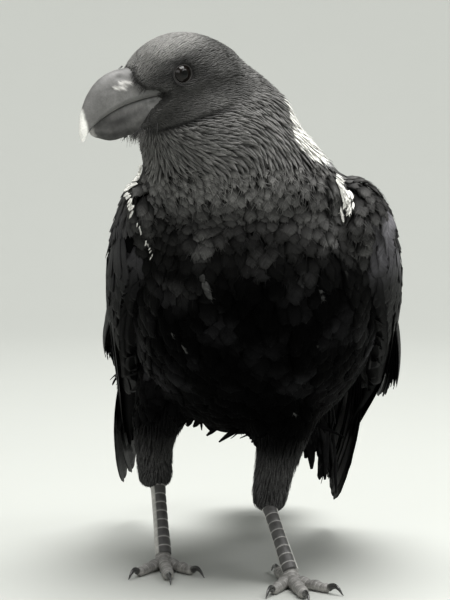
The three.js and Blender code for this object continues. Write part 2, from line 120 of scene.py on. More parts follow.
# ------------------------------------------------------------------ small maths
def unit(v):
    v = np.asarray(v, float)
    return v / np.maximum(np.linalg.norm(v, axis=-1, keepdims=True), 1e-12)


def sstep(a, b, x):
    t = np.clip((np.asarray(x, float) - a) / (b - a), 0, 1)
    return t * t * (3 - 2 * t)


def spow(v, p):
    return np.sign(v) * np.abs(v) ** p


def smooth_rows(rows, count):
    rows = np.asarray(rows, float)
    s = np.linspace(0, 1, count) * (len(rows) - 1)
    k = np.minimum(s.astype(int), len(rows) - 2)
    t = (s - k)[:, None]
    g = lambda j: rows[np.clip(j, 0, len(rows) - 1)]
    a, b, c, d = g(k - 1), g(k), g(k + 1), g(k + 2)
    return 0.5 * (2 * b + (c - a) * t + (2 * a - 5 * b + 4 * c - d) * t * t + (3 * b - a - 3 * c + d) * t**3)


def rot_z(a):
    c, s = math.cos(a), math.sin(a)
    return np.array([[c, -s, 0], [s, c, 0], [0, 0, 1]])


def rot_y(a):
    c, s = math.cos(a), math.sin(a)
    return np.array([[c, 0, s], [0, 1, 0], [-s, 0, c]])


def wavy(p, scale, seed):
    g = np.random.default_rng(seed)
    out = np.zeros(p.shape[:-1])
    for k in range(5):
        d = unit(g.normal(size=3))
        out += np.sin((p @ d) * scale * (1.3**k) + g.random() * 6.28) / (1.25**k)
    return out / 2.6


HEAD_R = rot_z(math.radians(-90 - HEAD["yaw"])) @ rot_y(math.radians(HEAD["pitch"]))
HEAD_O = np.array([HEAD["x"], HEAD["y"], HEAD["z"]], float)


def head_out(p):
    """Head's own frame (forward, left, up) to design mm."""
    return HEAD_O + HEAD["scale"] * np.asarray(p, float) @ HEAD_R.T


def head_in(p):
    return (np.asarray(p, float) - HEAD_O) @ HEAD_R / HEAD["scale"]


# design mm to the row frame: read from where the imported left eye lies
_lo, _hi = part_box("eye_left")
OFF = np.array((_lo + _hi) / 2) - head_out([EYE["f"], EYE["side"], EYE["up"]]) * 0.001
OFF[2] = 0.0


def D(p):
    return np.asarray(p, float) * 0.001 + OFF


def U(p):
    return (np.asarray(p, float) - OFF) * 1000.0


def limb(rows, count, around, square=0.94, level=False):
    r = smooth_rows(rows, count)
    c = r[:, :3]
    i = np.arange(count)
    tan = unit(c[np.minimum(i + 1, count - 1)] - c[np.maximum(i - 1, 0)])
    if level:
        tan[:] = (0, 0, -1)
    tw = np.radians(r[:, 6]) if r.shape[1] > 6 else np.zeros(count)
    wide = np.stack([np.cos(tw), np.sin(tw), np.zeros(count)], 1)
    wide = unit(wide - (wide * tan).sum(1, keepdims=True) * tan)
    front = unit(np.cross(tan, wide))
    a = 2 * np.pi * (np.arange(around) + 0.5) / around
    ca, sa = spow(np.cos(a), square), spow(np.sin(a), square)
    deep = np.where(sa[None, :] > 0, r[:, 4:5], r[:, 5:6]) * sa[None, :]
    return c[:, None] + wide[:, None] * (r[:, 3:4] * ca[None, :])[..., None] + front[:, None] * deep[..., None]


def head_rings(count=44, around=56):
    r = smooth_rows(HEAD_ROWS, count)
    a = 2 * np.pi * (np.arange(around) + 0.5) / around
    sa = np.sin(a)
    x, top, mid, bottom, half = (r[:, k : k + 1] for k in range(5))
    y = half * spow(np.cos(a), 0.92)[None]
    z = mid + np.where(sa[None] > 0, top - mid, mid - bottom) * spow(sa, 0.94)[None]
    return head_out(np.stack([np.broadcast_to(x, y.shape), y, z], -1))


# ------------------------------------------------------------------ mesh building
def new_object(name, verts, faces, smooth=True):
    me = bpy.data.meshes.new(name)
    me.from_pydata([tuple(v) for v in verts], [], [tuple(f) for f in faces])
    me.update()
    if smooth:
        me.polygons.foreach_set("use_smooth", [True] * len(me.polygons))
    ob = bpy.data.objects.new(name, me)
    bpy.context.scene.collection.objects.link(ob)
    return ob


def fast_mesh(name, verts, faces_by_size):
    """verts (n,3) and a list of (m,k) index arrays."""
    me = bpy.data.meshes.new(name)
    loops = np.concatenate([f.ravel() for f in faces_by_size]).astype(np.int32)
    sizes = np.concatenate([np.full(len(f), f.shape[1], np.int32) for f in faces_by_size])
    starts = np.concatenate([[0], np.cumsum(sizes)[:-1]]).astype(np.int32)
    me.vertices.add(len(verts))
    me.vertices.foreach_set("co", np.asarray(verts, np.float32).ravel())
    me.loops.add(len(loops))
    me.loops.foreach_set("vertex_index", loops)
    me.polygons.add(len(sizes))
    me.polygons.foreach_set("loop_start", starts)
    me.polygons.foreach_set("loop_total", sizes)
    me.update(calc_edges=True)
    me.polygons.foreach_set("use_smooth", np.ones(len(sizes), bool))
    me.validate(clean_customdata=False)
    return me, loops


def link(name, me):
    ob = bpy.data.objects.new(name, me)
    bpy.context.scene.collection.objects.link(ob)
    return ob


def ring_faces(n, m, base=0, cap=True):
    """Quads of a closed tube of n rings of m points, and fan centres at n*m and n*m+1."""
    i, j = np.meshgrid(np.arange(n - 1), np.arange(m), indexing="ij")
    a = i * m + j
    b = i * m + (j + 1) % m
    quads = np.stack([a, b, b + m, a + m], -1).reshape(-1, 4) + base
    if not cap:
        return quads, np.zeros((0, 3), int)
    j = np.arange(m)
    k = (j + 1) % m
    first = np.stack([np.full(m, n * m), k, j], -1)
    last = np.stack([np.full(m, n * m + 1), (n - 1) * m + j, (n - 1) * m + k], -1)
    return quads, np.concatenate([first, last]) + base


def tube_mesh(name, rings, attrs=None):
    """rings (n,m,3) in metres; attrs maps a name to (n,m,c) values."""
    n, m = rings.shape[:2]
    v = np.concatenate([rings.reshape(-1, 3), rings[:1].mean(1), rings[-1:].mean(1)])
    q, t = ring_faces(n, m)
    # faces out: test with the signed volume
    tri = np.concatenate([q[:, [0, 1, 2]], q[:, [0, 2, 3]], t])
    vol = np.einsum("ij,ij->i", v[tri[:, 0]], np.cross(v[tri[:, 1]], v[tri[:, 2]])).sum()
    if vol < 0:
        q, t = q[:, ::-1], t[:, ::-1]
    me, loops = fast_mesh(name, v, [q, t])
    for key, val in (attrs or {}).items():
        c = val.shape[-1]
        flat = np.concatenate([val.reshape(-1, c), val[:1].mean(1), val[-1:].mean(1)])
        set_attr(me, key, flat)
    return me


def set_attr(me, key, val):
    val = np.asarray(val, np.float32)
    if val.ndim == 1 or val.shape[1] == 1:
        a = me.attributes.new(key, "FLOAT", "POINT")
        a.data.foreach_set("value", val.ravel())
    elif val.shape[1] == 3:
        a = me.attributes.new(key, "FLOAT_COLOR", "POINT")
        a.data.foreach_set("color", np.concatenate([val, np.ones((len(val), 1), np.float32)], 1).ravel())


# ------------------------------------------------------------------ materials
def material(name):
    mt = bpy.data.materials.new(name)
    mt.use_nodes = True
    nt = mt.node_tree
    for n in list(nt.nodes):
        nt.nodes.remove(n)
    out = nt.nodes.new("ShaderNodeOutputMaterial")
    bs = nt.nodes.new("ShaderNodeBsdfPrincipled")
    nt.links.new(bs.outputs[0], out.inputs[0])

    def node(kind, **kw):
        n = nt.nodes.new("ShaderNode" + kind)
        for k, v in kw.items():
            if k in n.inputs.keys():
                n.inputs[k].default_value = v
            else:
                setattr(n, k, v)
        return n

    return mt, nt, bs, node, nt.links.new


def mix_rgb(nt, blend, fac, a, b):
    m = nt.nodes.new("ShaderNodeMix")
    m.data_type = "RGBA"
    m.blend_type = blend
    for sock, v in ((m.inputs[0], fac), (m.inputs[6], a), (m.inputs[7], b)):
        if hasattr(v, "is_output"):
            nt.links.new(v, sock)
        else:
            sock.default_value = v
    return m.outputs[2]


def maths(nt, op, a, b=0.0, c=None):
    m = nt.nodes.new("ShaderNodeMath")
    m.operation = op
    for sock, v in zip(m.inputs, (a, b, c)):
        if v is None:
            continue
        if hasattr(v, "is_output"):
            nt.links.new(v, sock)
        else:
            sock.default_value = v
    return m.outputs[0]


def remap(nt, v, lo, hi, to_lo, to_hi):
    m = nt.nodes.new("ShaderNodeMapRange")
    nt.links.new(v, m.inputs[0])
    for k, x in enumerate((lo, hi, to_lo, to_hi)):
        m.inputs[k + 1].default_value = x
    return m.outputs[0]


def feather_material(name, rough=(0.42, 0.62), barb=0.35, streak=0.5, specular=0.45, sheen=0.0, pitch=0.9, shaft_dark=0.6):
    """Barbs slant from the shaft; Tint gives each vane's colour. The vane map is in millimetres."""
    mt, nt, bs, node, lk = material(name)
    uv = node("UVMap", uv_map="VaneMM")
    sep = node("SeparateXYZ")
    lk(uv.outputs[0], sep.inputs[0])
    across = maths(nt, "ABSOLUTE", sep.outputs[0])
    lane = maths(nt, "SUBTRACT", sep.outputs[1], maths(nt, "MULTIPLY", across, 1.1))
    comb = node("CombineXYZ")
    lk(maths(nt, "MULTIPLY", lane, 1.0 / pitch), comb.inputs[0])
    lk(maths(nt, "MULTIPLY", sep.outputs[0], 0.16 / pitch), comb.inputs[1])
    shift = node("Attribute", attribute_name="Tint", attribute_type="GEOMETRY")
    lk(shift.outputs["Alpha"], comb.inputs[2])
    barbs = node("TexNoise", Scale=1.0, Detail=3.0, Roughness=0.6)
    lk(comb.outputs[0], barbs.inputs["Vector"])
    blotch = node("TexNoise", Scale=0.22, Detail=2.0)
    lk(uv.outputs[0], blotch.inputs["Vector"])
    tone = remap(nt, barbs.outputs[0], 0.25, 0.75, 1.0 - streak, 1.0 + streak)
    tone = maths(nt, "MULTIPLY", tone, remap(nt, blotch.outputs[0], 0.3, 0.7, 0.82, 1.18))
    # the shaft is a little darker and glossier than the vane
    shaft = remap(nt, across, 0.12, 0.42, 0.0, 1.0)
    tone = maths(nt, "MULTIPLY", tone, remap(nt, shaft, 0.0, 1.0, shaft_dark, 1.0))
    mul = node("VectorMath", operation="SCALE")
    lk(shift.outputs["Color"], mul.inputs[0])
    lk(tone, mul.inputs["Scale"])
    lk(mul.outputs[0], bs.inputs["Base Color"])
    r = remap(nt, barbs.outputs[0], 0.25, 0.75, rough[0], rough[1])
    lk(maths(nt, "MULTIPLY", r, remap(nt, shaft, 0.0, 1.0, 0.75, 1.0)), bs.inputs["Roughness"])
    bs.inputs["Specular IOR Level"].default_value = specular
    if sheen:
        bs.inputs["Sheen Weight"].default_value = sheen
        bs.inputs["Sheen Roughness"].default_value = 0.45
    bump = node("Bump", Strength=barb, Distance=0.00035)
    lk(barbs.outputs[0], bump.inputs["Height"])
    lk(bump.outputs[0], bs.inputs["Normal"])
    return mt


def tinted_material(name, rough, spec, scale, colour_var, bump_strength, bump_dist, stretch=(1, 1, 1), fine=6.0, coat=0.0):
    mt, nt, bs, node, lk = material(name)
    tc = node("TexCoord")
    mp = node("Mapping")
    mp.inputs["Scale"].default_value = stretch
    lk(tc.outputs["Object"], mp.inputs[0])
    tint = node("Attribute", attribute_name="Tint", attribute_type="GEOMETRY")
    n1 = node("TexNoise", Scale=scale, Detail=6.0, Roughness=0.62)
    n2 = node("TexNoise", Scale=scale * fine, Detail=4.0, Roughness=0.6)
    lk(mp.outputs[0], n1.inputs["Vector"])
    lk(mp.outputs[0], n2.inputs["Vector"])
    tone = maths(
        nt, "MULTIPLY",
        remap(nt, n1.outputs[0], 0.3, 0.7, 1 - colour_var, 1 + colour_var),
        remap(nt, n2.outputs[0], 0.3, 0.7, 1 - colour_var * 0.6, 1 + colour_var * 0.6),
    )
    mul = node("VectorMath", operation="SCALE")
    lk(tint.outputs["Color"], mul.inputs[0])
    lk(tone, mul.inputs["Scale"])
    lk(mul.outputs[0], bs.inputs["Base Color"])
    lk(remap(nt, n1.outputs[0], 0.3, 0.7, rough[0], rough[1]), bs.inputs["Roughness"])
    bs.inputs["Specular IOR Level"].default_value = spec
    if coat:
        bs.inputs["Coat Weight"].default_value = coat
        bs.inputs["Coat Roughness"].default_value = 0.12
    bump = node("Bump", Strength=bump_strength, Distance=bump_dist)
    h = maths(nt, "ADD", maths(nt, "MULTIPLY", n1.outputs[0], 0.6), maths(nt, "MULTIPLY", n2.outputs[0], 0.4))
    lk(h, bump.inputs["Height"])
    lk(bump.outputs[0], bs.inputs["Normal"])
    return mt


M_BODY = feather_material("feather_body", rough=(0.5, 0.7), barb=0.5, streak=0.4, specular=0.07)
M_SOFT = feather_material("feather_soft", rough=(0.6, 0.8), barb=0.5, streak=0.35, specular=0.10, sheen=0.05, pitch=0.7, shaft_dark=0.8)
M_FLIGHT = feather_material("feather_flight", rough=(0.42, 0.58), barb=0.4, streak=0.3, specular=0.06, pitch=1.1)
M_BREAST = feather_material("feather_breast", rough=(0.6, 0.8), barb=0.6, streak=0.55, specular=0.03, shaft_dark=0.94)
M_BELLY = feather_material("feather_belly", rough=(0.7, 0.9), barb=0.6, streak=0.5, specular=0.014, shaft_dark=0.95)
M_CORE = tinted_material("wing_skin", (0.8, 0.95), 0.02, 300.0, 0.3, 0.5, 0.0004)
M_SKIN = tinted_material("skin", (0.6, 0.8), 0.12, 500.0, 0.3, 0.5, 0.0004)
M_BILL = tinted_material("bill_horn", (0.42, 0.58), 0.24, 140.0, 0.20, 0.4, 0.0003, fine=7.0)
M_LEG = tinted_material("leg_scales", (0.38, 0.55), 0.45, 420.0, 0.16, 0.45, 0.00025)
M_CLAW = tinted_material("claw_horn", (0.22, 0.36), 0.5, 260.0, 0.2, 0.3, 0.0002, coat=0.2)


def piece(ob, mat, slot, *nodes):
    ob.data.materials.clear()
    ob.data.materials.append(mat)
    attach(ob, "root")
    if nodes:
        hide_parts(*nodes)
    return ob


# ------------------------------------------------------------------ camera, floor and light
CAM_AT = D([-9.5, 0, 179.4])
CAM_EL, CAM_DIST = math.radians(5.0), 1.6
cam_data = bpy.data.cameras.new("camera")
cam = bpy.data.objects.new("camera", cam_data)
bpy.context.scene.collection.objects.link(cam)
cam_data.sensor_fit = "VERTICAL"
cam_data.sensor_height = 24.0
cam_data.lens = 24.0 * (1600.0 / 0.63) / 600.0
cam_data.clip_start, cam_data.clip_end = 0.05, 50
cam.location = Vector(CAM_AT) + Vector((0, -math.cos(CAM_EL), math.sin(CAM_EL))) * CAM_DIST
cam.rotation_euler = (Vector(CAM_AT) - cam.location).to_track_quat("-Z", "Y").to_euler()
bpy.context.scene.camera = cam


def stage_material(name, colour, rough):
    mt, nt, bs, node, lk = material(name)
    tc = node("TexCoord")
    n = node("TexNoise", Scale=9.0, Detail=4.0)
    lk(tc.outputs["Object"], n.inputs["Vector"])
    lk(mix_rgb(nt, "MIX", n.outputs[0], (*[c * 0.985 for c in colour], 1), (*colour, 1)), bs.inputs["Base Color"])
    bs.inputs["Roughness"].default_value = rough
    bs.inputs["Specular IOR Level"].default_value = 0.2
    return mt


def floor():
    # a round pale floor whose rim curves up into a backdrop on every side
    prof = [(0.02, 0.0), (0.5, 0.0), (1.5, 0.0)]
    for k in range(1, 15):
        a = math.radians(90 * k / 14)
        prof.append((1.5 + 1.3 * math.sin(a), 1.3 - 1.3 * math.cos(a)))
    prof += [(2.8, 2.0), (2.8, 2.9)]
    m = 72
    v = [(r * math.cos(2 * math.pi * j / m), r * math.sin(2 * math.pi * j / m), z - 0.0004) for r, z in prof for j in range(m)]
    f = [
        (i * m + j, i * m + (j + 1) % m, (i + 1) * m + (j + 1) % m, (i + 1) * m + j)
        for i in range(len(prof) - 1) for j in range(m)
    ]
    f.append(tuple(range(m))[::-1])
    ob = new_object("floor_sweep", v, f)
    ob.data.materials.append(stage_material("floor_paper", (0.385, 0.394, 0.374), 0.9))
    ob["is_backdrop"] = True


floor()


def area(name, loc, size, power, at, colour=(1, 1, 1), size_y=None):
    ld = bpy.data.lights.new(name, "AREA")
    ld.shape = "RECTANGLE"
    ld.size, ld.size_y, ld.energy, ld.color = size, size_y or size, power, colour
    ob = bpy.data.objects.new(name, ld)
    bpy.context.scene.collection.objects.link(ob)
    ob.location = loc
    ob.rotation_euler = (Vector(at) - Vector(loc)).to_track_quat("-Z", "Y").to_euler()


area("key_top", (0.2, -0.25, 2.1), 1.5, 88, (0, -0.03, 0.2), (1.0, 0.998, 0.985), 1.3)
area("sky_right", (0.95, -0.62, 1.12), 1.2, 9, (0, -0.1, 0.28), size_y=0.4)
area("front_left", (-0.8, -2.1, 1.3), 1.1, 11, (0, 0, 0.22))
area("backdrop", (0, 0.9, 2.2), 2.4, 36, (0, 2.5, 0.6), size_y=0.5)
world = bpy.data.worlds.new("world")
bpy.context.scene.world = world
world.use_nodes = True
wn = world.node_tree.nodes["Background"]
wn.inputs[0].default_value = (0.93, 0.95, 0.9, 1)
wn.inputs[1].default_value = 0.3
bpy.context.scene.view_settings.view_transform = "Standard"


# ------------------------------------------------------------------ the skin
def voxel_mesh(parts, voxel, times, name):
    """One closed surface round several overlapping tubes of rings (mm)."""
    verts, quads, tris, base = [], [], [], 0
    labels = []
    for k, r in enumerate(parts):
        n, m = r.shape[:2]
        v = np.concatenate([r.reshape(-1, 3), r[:1].mean(1), r[-1:].mean(1)])
        q, t = ring_faces(n, m)
        tri = np.concatenate([q[:, [0, 1, 2]], q[:, [0, 2, 3]], t])
        if np.einsum("ij,ij->i", v[tri[:, 0]], np.cross(v[tri[:, 1]], v[tri[:, 2]])).sum() < 0:
            q, t = q[:, ::-1], t[:, ::-1]
        verts.append(v)
        quads.append(q + base)
        tris.append(t + base)
        labels += [k] * len(v)
        base += len(v)
    v = D(np.concatenate(verts))
    me, _ = fast_mesh(name, v, [np.concatenate(quads), np.concatenate(tris)])
    ob = link(name, me)
    md = ob.modifiers.new("vox", "REMESH")
    md.mode = "VOXEL"
    md.voxel_size = voxel
    md.use_smooth_shade = True
    sm = ob.modifiers.new("sm", "SMOOTH")
    sm.factor, sm.iterations = 0.5, times
    dg = bpy.context.evaluated_depsgraph_get()
    out = bpy.data.meshes.new_from_object(ob.evaluated_get(dg), depsgraph=dg)
    bpy.data.objects.remove(ob)
    bpy.data.meshes.remove(me)
    return out, v, np.array(labels)


def mesh_arrays(me):
    v = np.empty(len(me.vertices) * 3, np.float32)
    me.vertices.foreach_get("co", v)
    n = np.empty(len(me.vertices) * 3, np.float32)
    me.vertices.foreach_get("normal", n)
    tri = []
    for p in me.polygons:
        q = p.vertices
        for k in range(1, len(q) - 1):
            tri.append((q[0], q[k], q[k + 1]))
    return v.reshape(-1, 3).astype(float), n.reshape(-1, 3).astype(float), np.array(tri)


BODY_PARTS = [
    limb(TRUNK_ROWS, 60, 84), limb(NECK_ROWS, 56, 72, level=True), head_rings(),
    limb(THIGH_ROWS["left"], 40, 36, square=1.0), limb(THIGH_ROWS["right"], 40, 36, square=1.0),
]


def in_poly(x, y, poly):
    inside = np.zeros(len(x), bool)
    j = len(poly) - 1
    for i in range(len(poly)):
        xi, yi = poly[i]
        xj, yj = poly[j]
        hit = ((yi > y) != (yj > y)) & (x < (xj - xi) * (y - yi) / (yj - yi + 1e-12) + xi)
        inside ^= hit
        j = i
    return inside


FACE_POLY = FACE_EDGE + [[120, -34], [120, 30]]

skin_me, raw_v, raw_label = voxel_mesh(BODY_PARTS, 0.0017, 10, "skin_raw")
SV = np.empty(len(skin_me.vertices) * 3, np.float32)
skin_me.vertices.foreach_get("co", SV)
SV = SV.reshape(-1, 3).astype(float)
SN = np.empty(len(SV) * 3, np.float32)
skin_me.vertices.foreach_get("normal", SN)
SN = SN.reshape(-1, 3).astype(float)


def body_kd():
    from mathutils.kdtree import KDTree

    kd = KDTree(len(raw_v))
    for i, p in enumerate(raw_v):
        kd.insert(p, i)
    kd.balance()
    return kd


KD = body_kd()


def label_of(points):
    return np.array([raw_label[KD.find(p)[1]] for p in points])


def coat_depth(p_mm, lab):
    """How far the skin lies inside the outline, mm."""
    h = head_in(p_mm)
    face = sstep(-34, 30, h[:, 0])
    d = np.where(lab == 2, 0.3, 3.2)
    d = np.where(lab == 1, 3.0, d)
    d = np.where(lab == 0, 4.2, d)
    d = np.where(lab >= 3, 2.0, d)
    return d


S_LAB = label_of(SV)
depth = coat_depth(U(SV), S_LAB)
# even the depth out over the surface
edges = np.empty(len(skin_me.edges) * 2, np.int32)
skin_me.edges.foreach_get("vertices", edges)
edges = edges.reshape(-1, 2)
deg = np.bincount(edges.ravel(), minlength=len(SV)).astype(float)


def diffuse(val, times):
    for _ in range(times):
        acc = np.zeros_like(val)
        np.add.at(acc, edges[:, 0], val[edges[:, 1]])
        np.add.at(acc, edges[:, 1], val[edges[:, 0]])
        val = 0.5 * val + 0.5 * (acc / (deg[:, None] if val.ndim > 1 else deg))
    return val


depth = diffuse(depth, 12)
SV2 = SV - SN * depth[:, None] * 0.001
# the face: the skin draws in under the bill, and round each eye it dishes in and folds under the lids
hm = head_in(U(SV2))
inside = in_poly(hm[:, 0], hm[:, 2], FACE_POLY) & (hm[:, 0] > 10) & (np.abs(hm[:, 1]) < 26)
hm[inside, 1] *= 0.62
hm[inside, 2] = -5 + (hm[inside, 2] + 5) * 0.72
for sgn in (1, -1):
    sel = (hm[:, 1] * sgn > 6) & (np.abs(hm[:, 0]) < 16) & (np.abs(hm[:, 2]) < 16)
    rho = np.hypot(hm[:, 0] - EYE["f"], (hm[:, 2] - EYE["up"]) * 1.06)
    dish = EYE["dish_at"] - np.sqrt(np.maximum(EYE["dish"] ** 2 - np.minimum(rho, 12.4) ** 2, 0)) - 0.3
    y = hm[:, 1] * sgn
    y2 = np.where(rho < 12, np.minimum(y, dish), y)
    y2 = np.where(rho < 6.9, np.minimum(y2, 15.5 - (6.9 - rho) * 2.0), y2)
    hm[:, 1] = np.where(sel, y2 * sgn, hm[:, 1])
crease = np.exp(-(((hm[:, 2] - (-31.0)) / 2.2) ** 2)) * sstep(-30, -6, hm[:, 0]) * sstep(70, 55, hm[:, 0])
hm[:, 1] -= np.sign(hm[:, 1]) * 1.8 * crease * sstep(2, 8, np.abs(hm[:, 1]))
near_head = (np.abs(hm) < 70).all(1)
SV2 = np.where(near_head[:, None], D(head_out(hm)), SV2)
skin_me.vertices.foreach_set("co", SV2.astype(np.float32).ravel())
skin_me.update()
skin_me.name = "skin"
skin = link("skin", skin_me)
skin_me.polygons.foreach_set("use_smooth", np.ones(len(skin_me.polygons), bool))

bvh_polys = [tuple(p.vertices) for p in skin_me.polygons]
SN2 = np.empty(len(SV2) * 3, np.float32)
skin_me.vertices.foreach_get("normal", SN2)
SN2 = SN2.reshape(-1, 3).astype(float)
SMOOTH_N = unit(diffuse(SN2, 4))


# ------------------------------------------------------------------ markings
WHITE_PATHS = [
    # x, y, z, half width, mm: the collar's left limb, then the band over the hindneck to the right side
    [[24, -40, 302, 2.5], [33, -42, 295, 5.2], [40.5, -46, 287, 9.5], [45, -49, 280, 13.5], [50, -46, 273.5, 10], [54.5, -42, 268.5, 4]],
    [[41, -22, 282, 13], [24, -4, 284, 17], [0, 3, 284, 20], [-20, 0, 280, 20], [-40, -10, 272, 15],
     [-52, -24, 264, 7], [-57, -30, 258, 3.0], [-59, -32, 254, 1.5]],
]


def whiteness(p):
    """0 to 1 over the white hindneck band, for points in mm."""
    best = np.full(len(p), 9.0)
    for rows in WHITE_PATHS:
        for q in smooth_rows(rows, 12 * len(rows)):
            d = np.linalg.norm((p - q[:3]) * (1, 0.8, 1), axis=1) / max(q[3], 0.8)
            best = np.minimum(best, d)
    return 1 - sstep(0.85, 1.12, best)


def plumage_tint(p, lab):
    """Base colour by place, mm in, linear colour out, with a painted sheen on the crown and painted shade down to the
    belly.
    """
    h = head_in(p)
    z, y = p[:, 2], p[:, 1]
    head_c = np.array([0.060, 0.059, 0.0565])
    crown_sheen_c = np.array([0.285, 0.281, 0.268])
    neck_c = np.array([0.135, 0.132, 0.128])
    breast_c = np.array([0.121, 0.119, 0.117])
    belly_shade_c = np.array([0.0007, 0.0007, 0.00075])
    back_c = np.array([0.020, 0.0195, 0.021])
    c = np.repeat(neck_c[None], len(p), 0)
    w = sstep(272, 238, z)[:, None]
    c = c * (1 - w) + breast_c * w
    c = c * (1 + 0.42 * np.exp(-(((z - 250) / 12) ** 2 + ((p[:, 0] + 28) / 38) ** 2)) * sstep(0, -20, y))[:, None]
    # painted shade: down the breast the colour fades to near black at the belly, the underside facing away from the
    # light above, over the plumage's own black
    w = 1 - np.exp(-((np.clip(257 - z + 9 * wavy(p, 0.07, 87), 0, None) / 30.0) ** 2))[:, None]
    c = c * (1 - w) + belly_shade_c * w
    back = (sstep(-10, 25, y) * sstep(292, 262, z))[:, None]
    c = c * (1 - back) + back_c * (0.12 + 0.88 * sstep(135, 205, z))[:, None] * back
    hw = (sstep(-36, -24, h[:, 2]) * sstep(-56, -34, h[:, 0]) * sstep(75, 60, np.linalg.norm(h, axis=1)))[:, None]
    c = c * (1 - hw) + head_c * hw
    # painted sheen: the crown is painted pale where the light from above glances off it, less so towards the forehead
    crown_sheen_w = (sstep(7, 25, h[:, 2] + 0.12 * h[:, 0]))[:, None] * hw
    crown_sheen_w = crown_sheen_w * (1 - 0.42 * sstep(-2, 22, h[:, 0]))[:, None]
    c = c * (1 - crown_sheen_w) + crown_sheen_c * crown_sheen_w
    tw = ((lab >= 3) * sstep(92, 62, z + 5 * wavy(p, 0.12, 88)))[:, None]
    c = c * (1 - tw) + np.array([0.058, 0.057, 0.0575]) * tw
    return c


def JAW_LINE(x):
    """Height of the crease under the jaw, head frame."""
    return -31.5 + 0.5 * sstep(-10, -45, x) * 4 + 0.0 * x


def painted_face_shade(p):
    """Painted shade on the short face feathering: before the eye, under the brow, below the eye, at the gape, in the
    crease along the jaw's edge, behind the eye and at the temple.
    """
    h = head_in(p)
    lore = np.exp(-(((h[:, 0] - 14) / 9) ** 2 + ((h[:, 2] - 4.5) / 4.0) ** 2))
    brow = np.exp(-(((h[:, 0] - 3) / 12) ** 2 + ((h[:, 2] - 10.5 - 0.1 * h[:, 0]) / 3.0) ** 2))
    jaw = np.exp(-(((h[:, 2] - JAW_LINE(h[:, 0])) / 2.3) ** 2)) * sstep(-34, -8, h[:, 0])
    gape = np.exp(-(((h[:, 0] - 10) / 7) ** 2 + ((h[:, 2] + 9) / 3.0) ** 2))
    under = np.exp(-(((h[:, 0] - 2) / 9) ** 2 + ((h[:, 2] + 4.5) / 2.6) ** 2))
    ear = np.exp(-(((h[:, 0] + 12) / 9) ** 2 + ((h[:, 2] + 1) / 8) ** 2))
    temple = np.exp(-(((h[:, 0] + 30) / 13) ** 2 + ((h[:, 2] + 17) / 11) ** 2))
    return np.clip(temple * 0.36 + lore * 0.55 + brow * 0.75 + jaw * 0.85 + gape * 0.4 + under * 0.35 + ear * 0.52, 0, 0.88)


tint = plumage_tint(U(SV2), S_LAB) * 0.45
set_attr(skin_me, "Tint", np.where(whiteness(U(SV2))[:, None] > 0.5, 0.45, tint))
piece(skin, M_SKIN, "plumage", "head", "neck", "trunk", "thigh_left", "thigh_right")


# ------------------------------------------------------------------ where the coat lies
TRUNK_PATH = smooth_rows([r[:3] for r in TRUNK_ROWS], 60)
TRUNK_TAN = unit(np.gradient(TRUNK_PATH, axis=0))
TRUNK_TAN[:18] = unit(TRUNK_TAN[:18] * 0.4 + np.array([0, 0.12, -1.0]) * 0.6)
NECK_PATH = smooth_rows([r[:3] for r in NECK_ROWS], 40)
NECK_TAN = unit(np.array([[0.10, 0.26, -1.0]]).repeat(40, 0))
THIGH_PATH = {k: smooth_rows([r[:3] for r in v], 24) for k, v in THIGH_ROWS.items()}


def lie(p, lab):
    """Direction that plumage lies in at points p (mm), before it is laid on the surface."""
    path = np.concatenate([TRUNK_PATH, NECK_PATH])
    tans = np.concatenate([TRUNK_TAN, NECK_TAN])
    d2 = ((p[:, None] - path[None]) ** 2).sum(-1)
    w = 1.0 / (d2 / 900 + 0.3) ** 3
    v = (w[..., None] * tans[None]).sum(1)
    v = unit(v)
    h = head_in(p)
    radial = h - np.array([46, 0, -6.0])
    radial[:, 2] *= 0.8
    rad = unit(radial) @ HEAD_R.T
    back = -HEAD_R[:, 0]
    rad = unit(rad + 0.25 * back)
    # hackles sweep back from the bill before they turn down, and lie along the hindneck behind
    rad = unit(rad + np.array([0.1, 0.26, -1.0]) * (1.3 * sstep(-2, -50, h[:, 0]) * sstep(-4, -30, h[:, 2]))[:, None])
    wh = sstep(-86, -54, h[:, 2] + 0.25 * h[:, 0]) * sstep(104, 78, np.linalg.norm(h, axis=1))
    v = unit(v * (1 - wh[:, None]) + rad * wh[:, None])
    for k, name in ((3, "left"), (4, "right")):
        q = THIGH_PATH[name]
        t = unit(q[-1] - q[4])
        sel = (lab == k) & (p[:, 2] < 118)
        v[sel] = unit(t * 0.9 + v[sel] * 0.15)
    return v


from mathutils.kdtree import KDTree


class Surface:
    """A mesh that feathers can be laid on: nearest point and smoothed normal."""

    def __init__(self, verts, faces, normals):
        self.bvh = BVHTree.FromPolygons([tuple(p) for p in verts], [tuple(f) for f in faces])
        self.kd = KDTree(len(verts))
        for i, p in enumerate(verts):
            self.kd.insert(p, i)
        self.kd.balance()
        self.normals = normals

    def near(self, pts):
        return np.array([self.bvh.find_nearest(p)[0] for p in pts]).reshape(-1, 3)

    def normal(self, pts):
        return np.array([self.normals[self.kd.find(p)[1]] for p in pts]).reshape(-1, 3)


BODY = Surface(SV2, bvh_polys, SMOOTH_N)


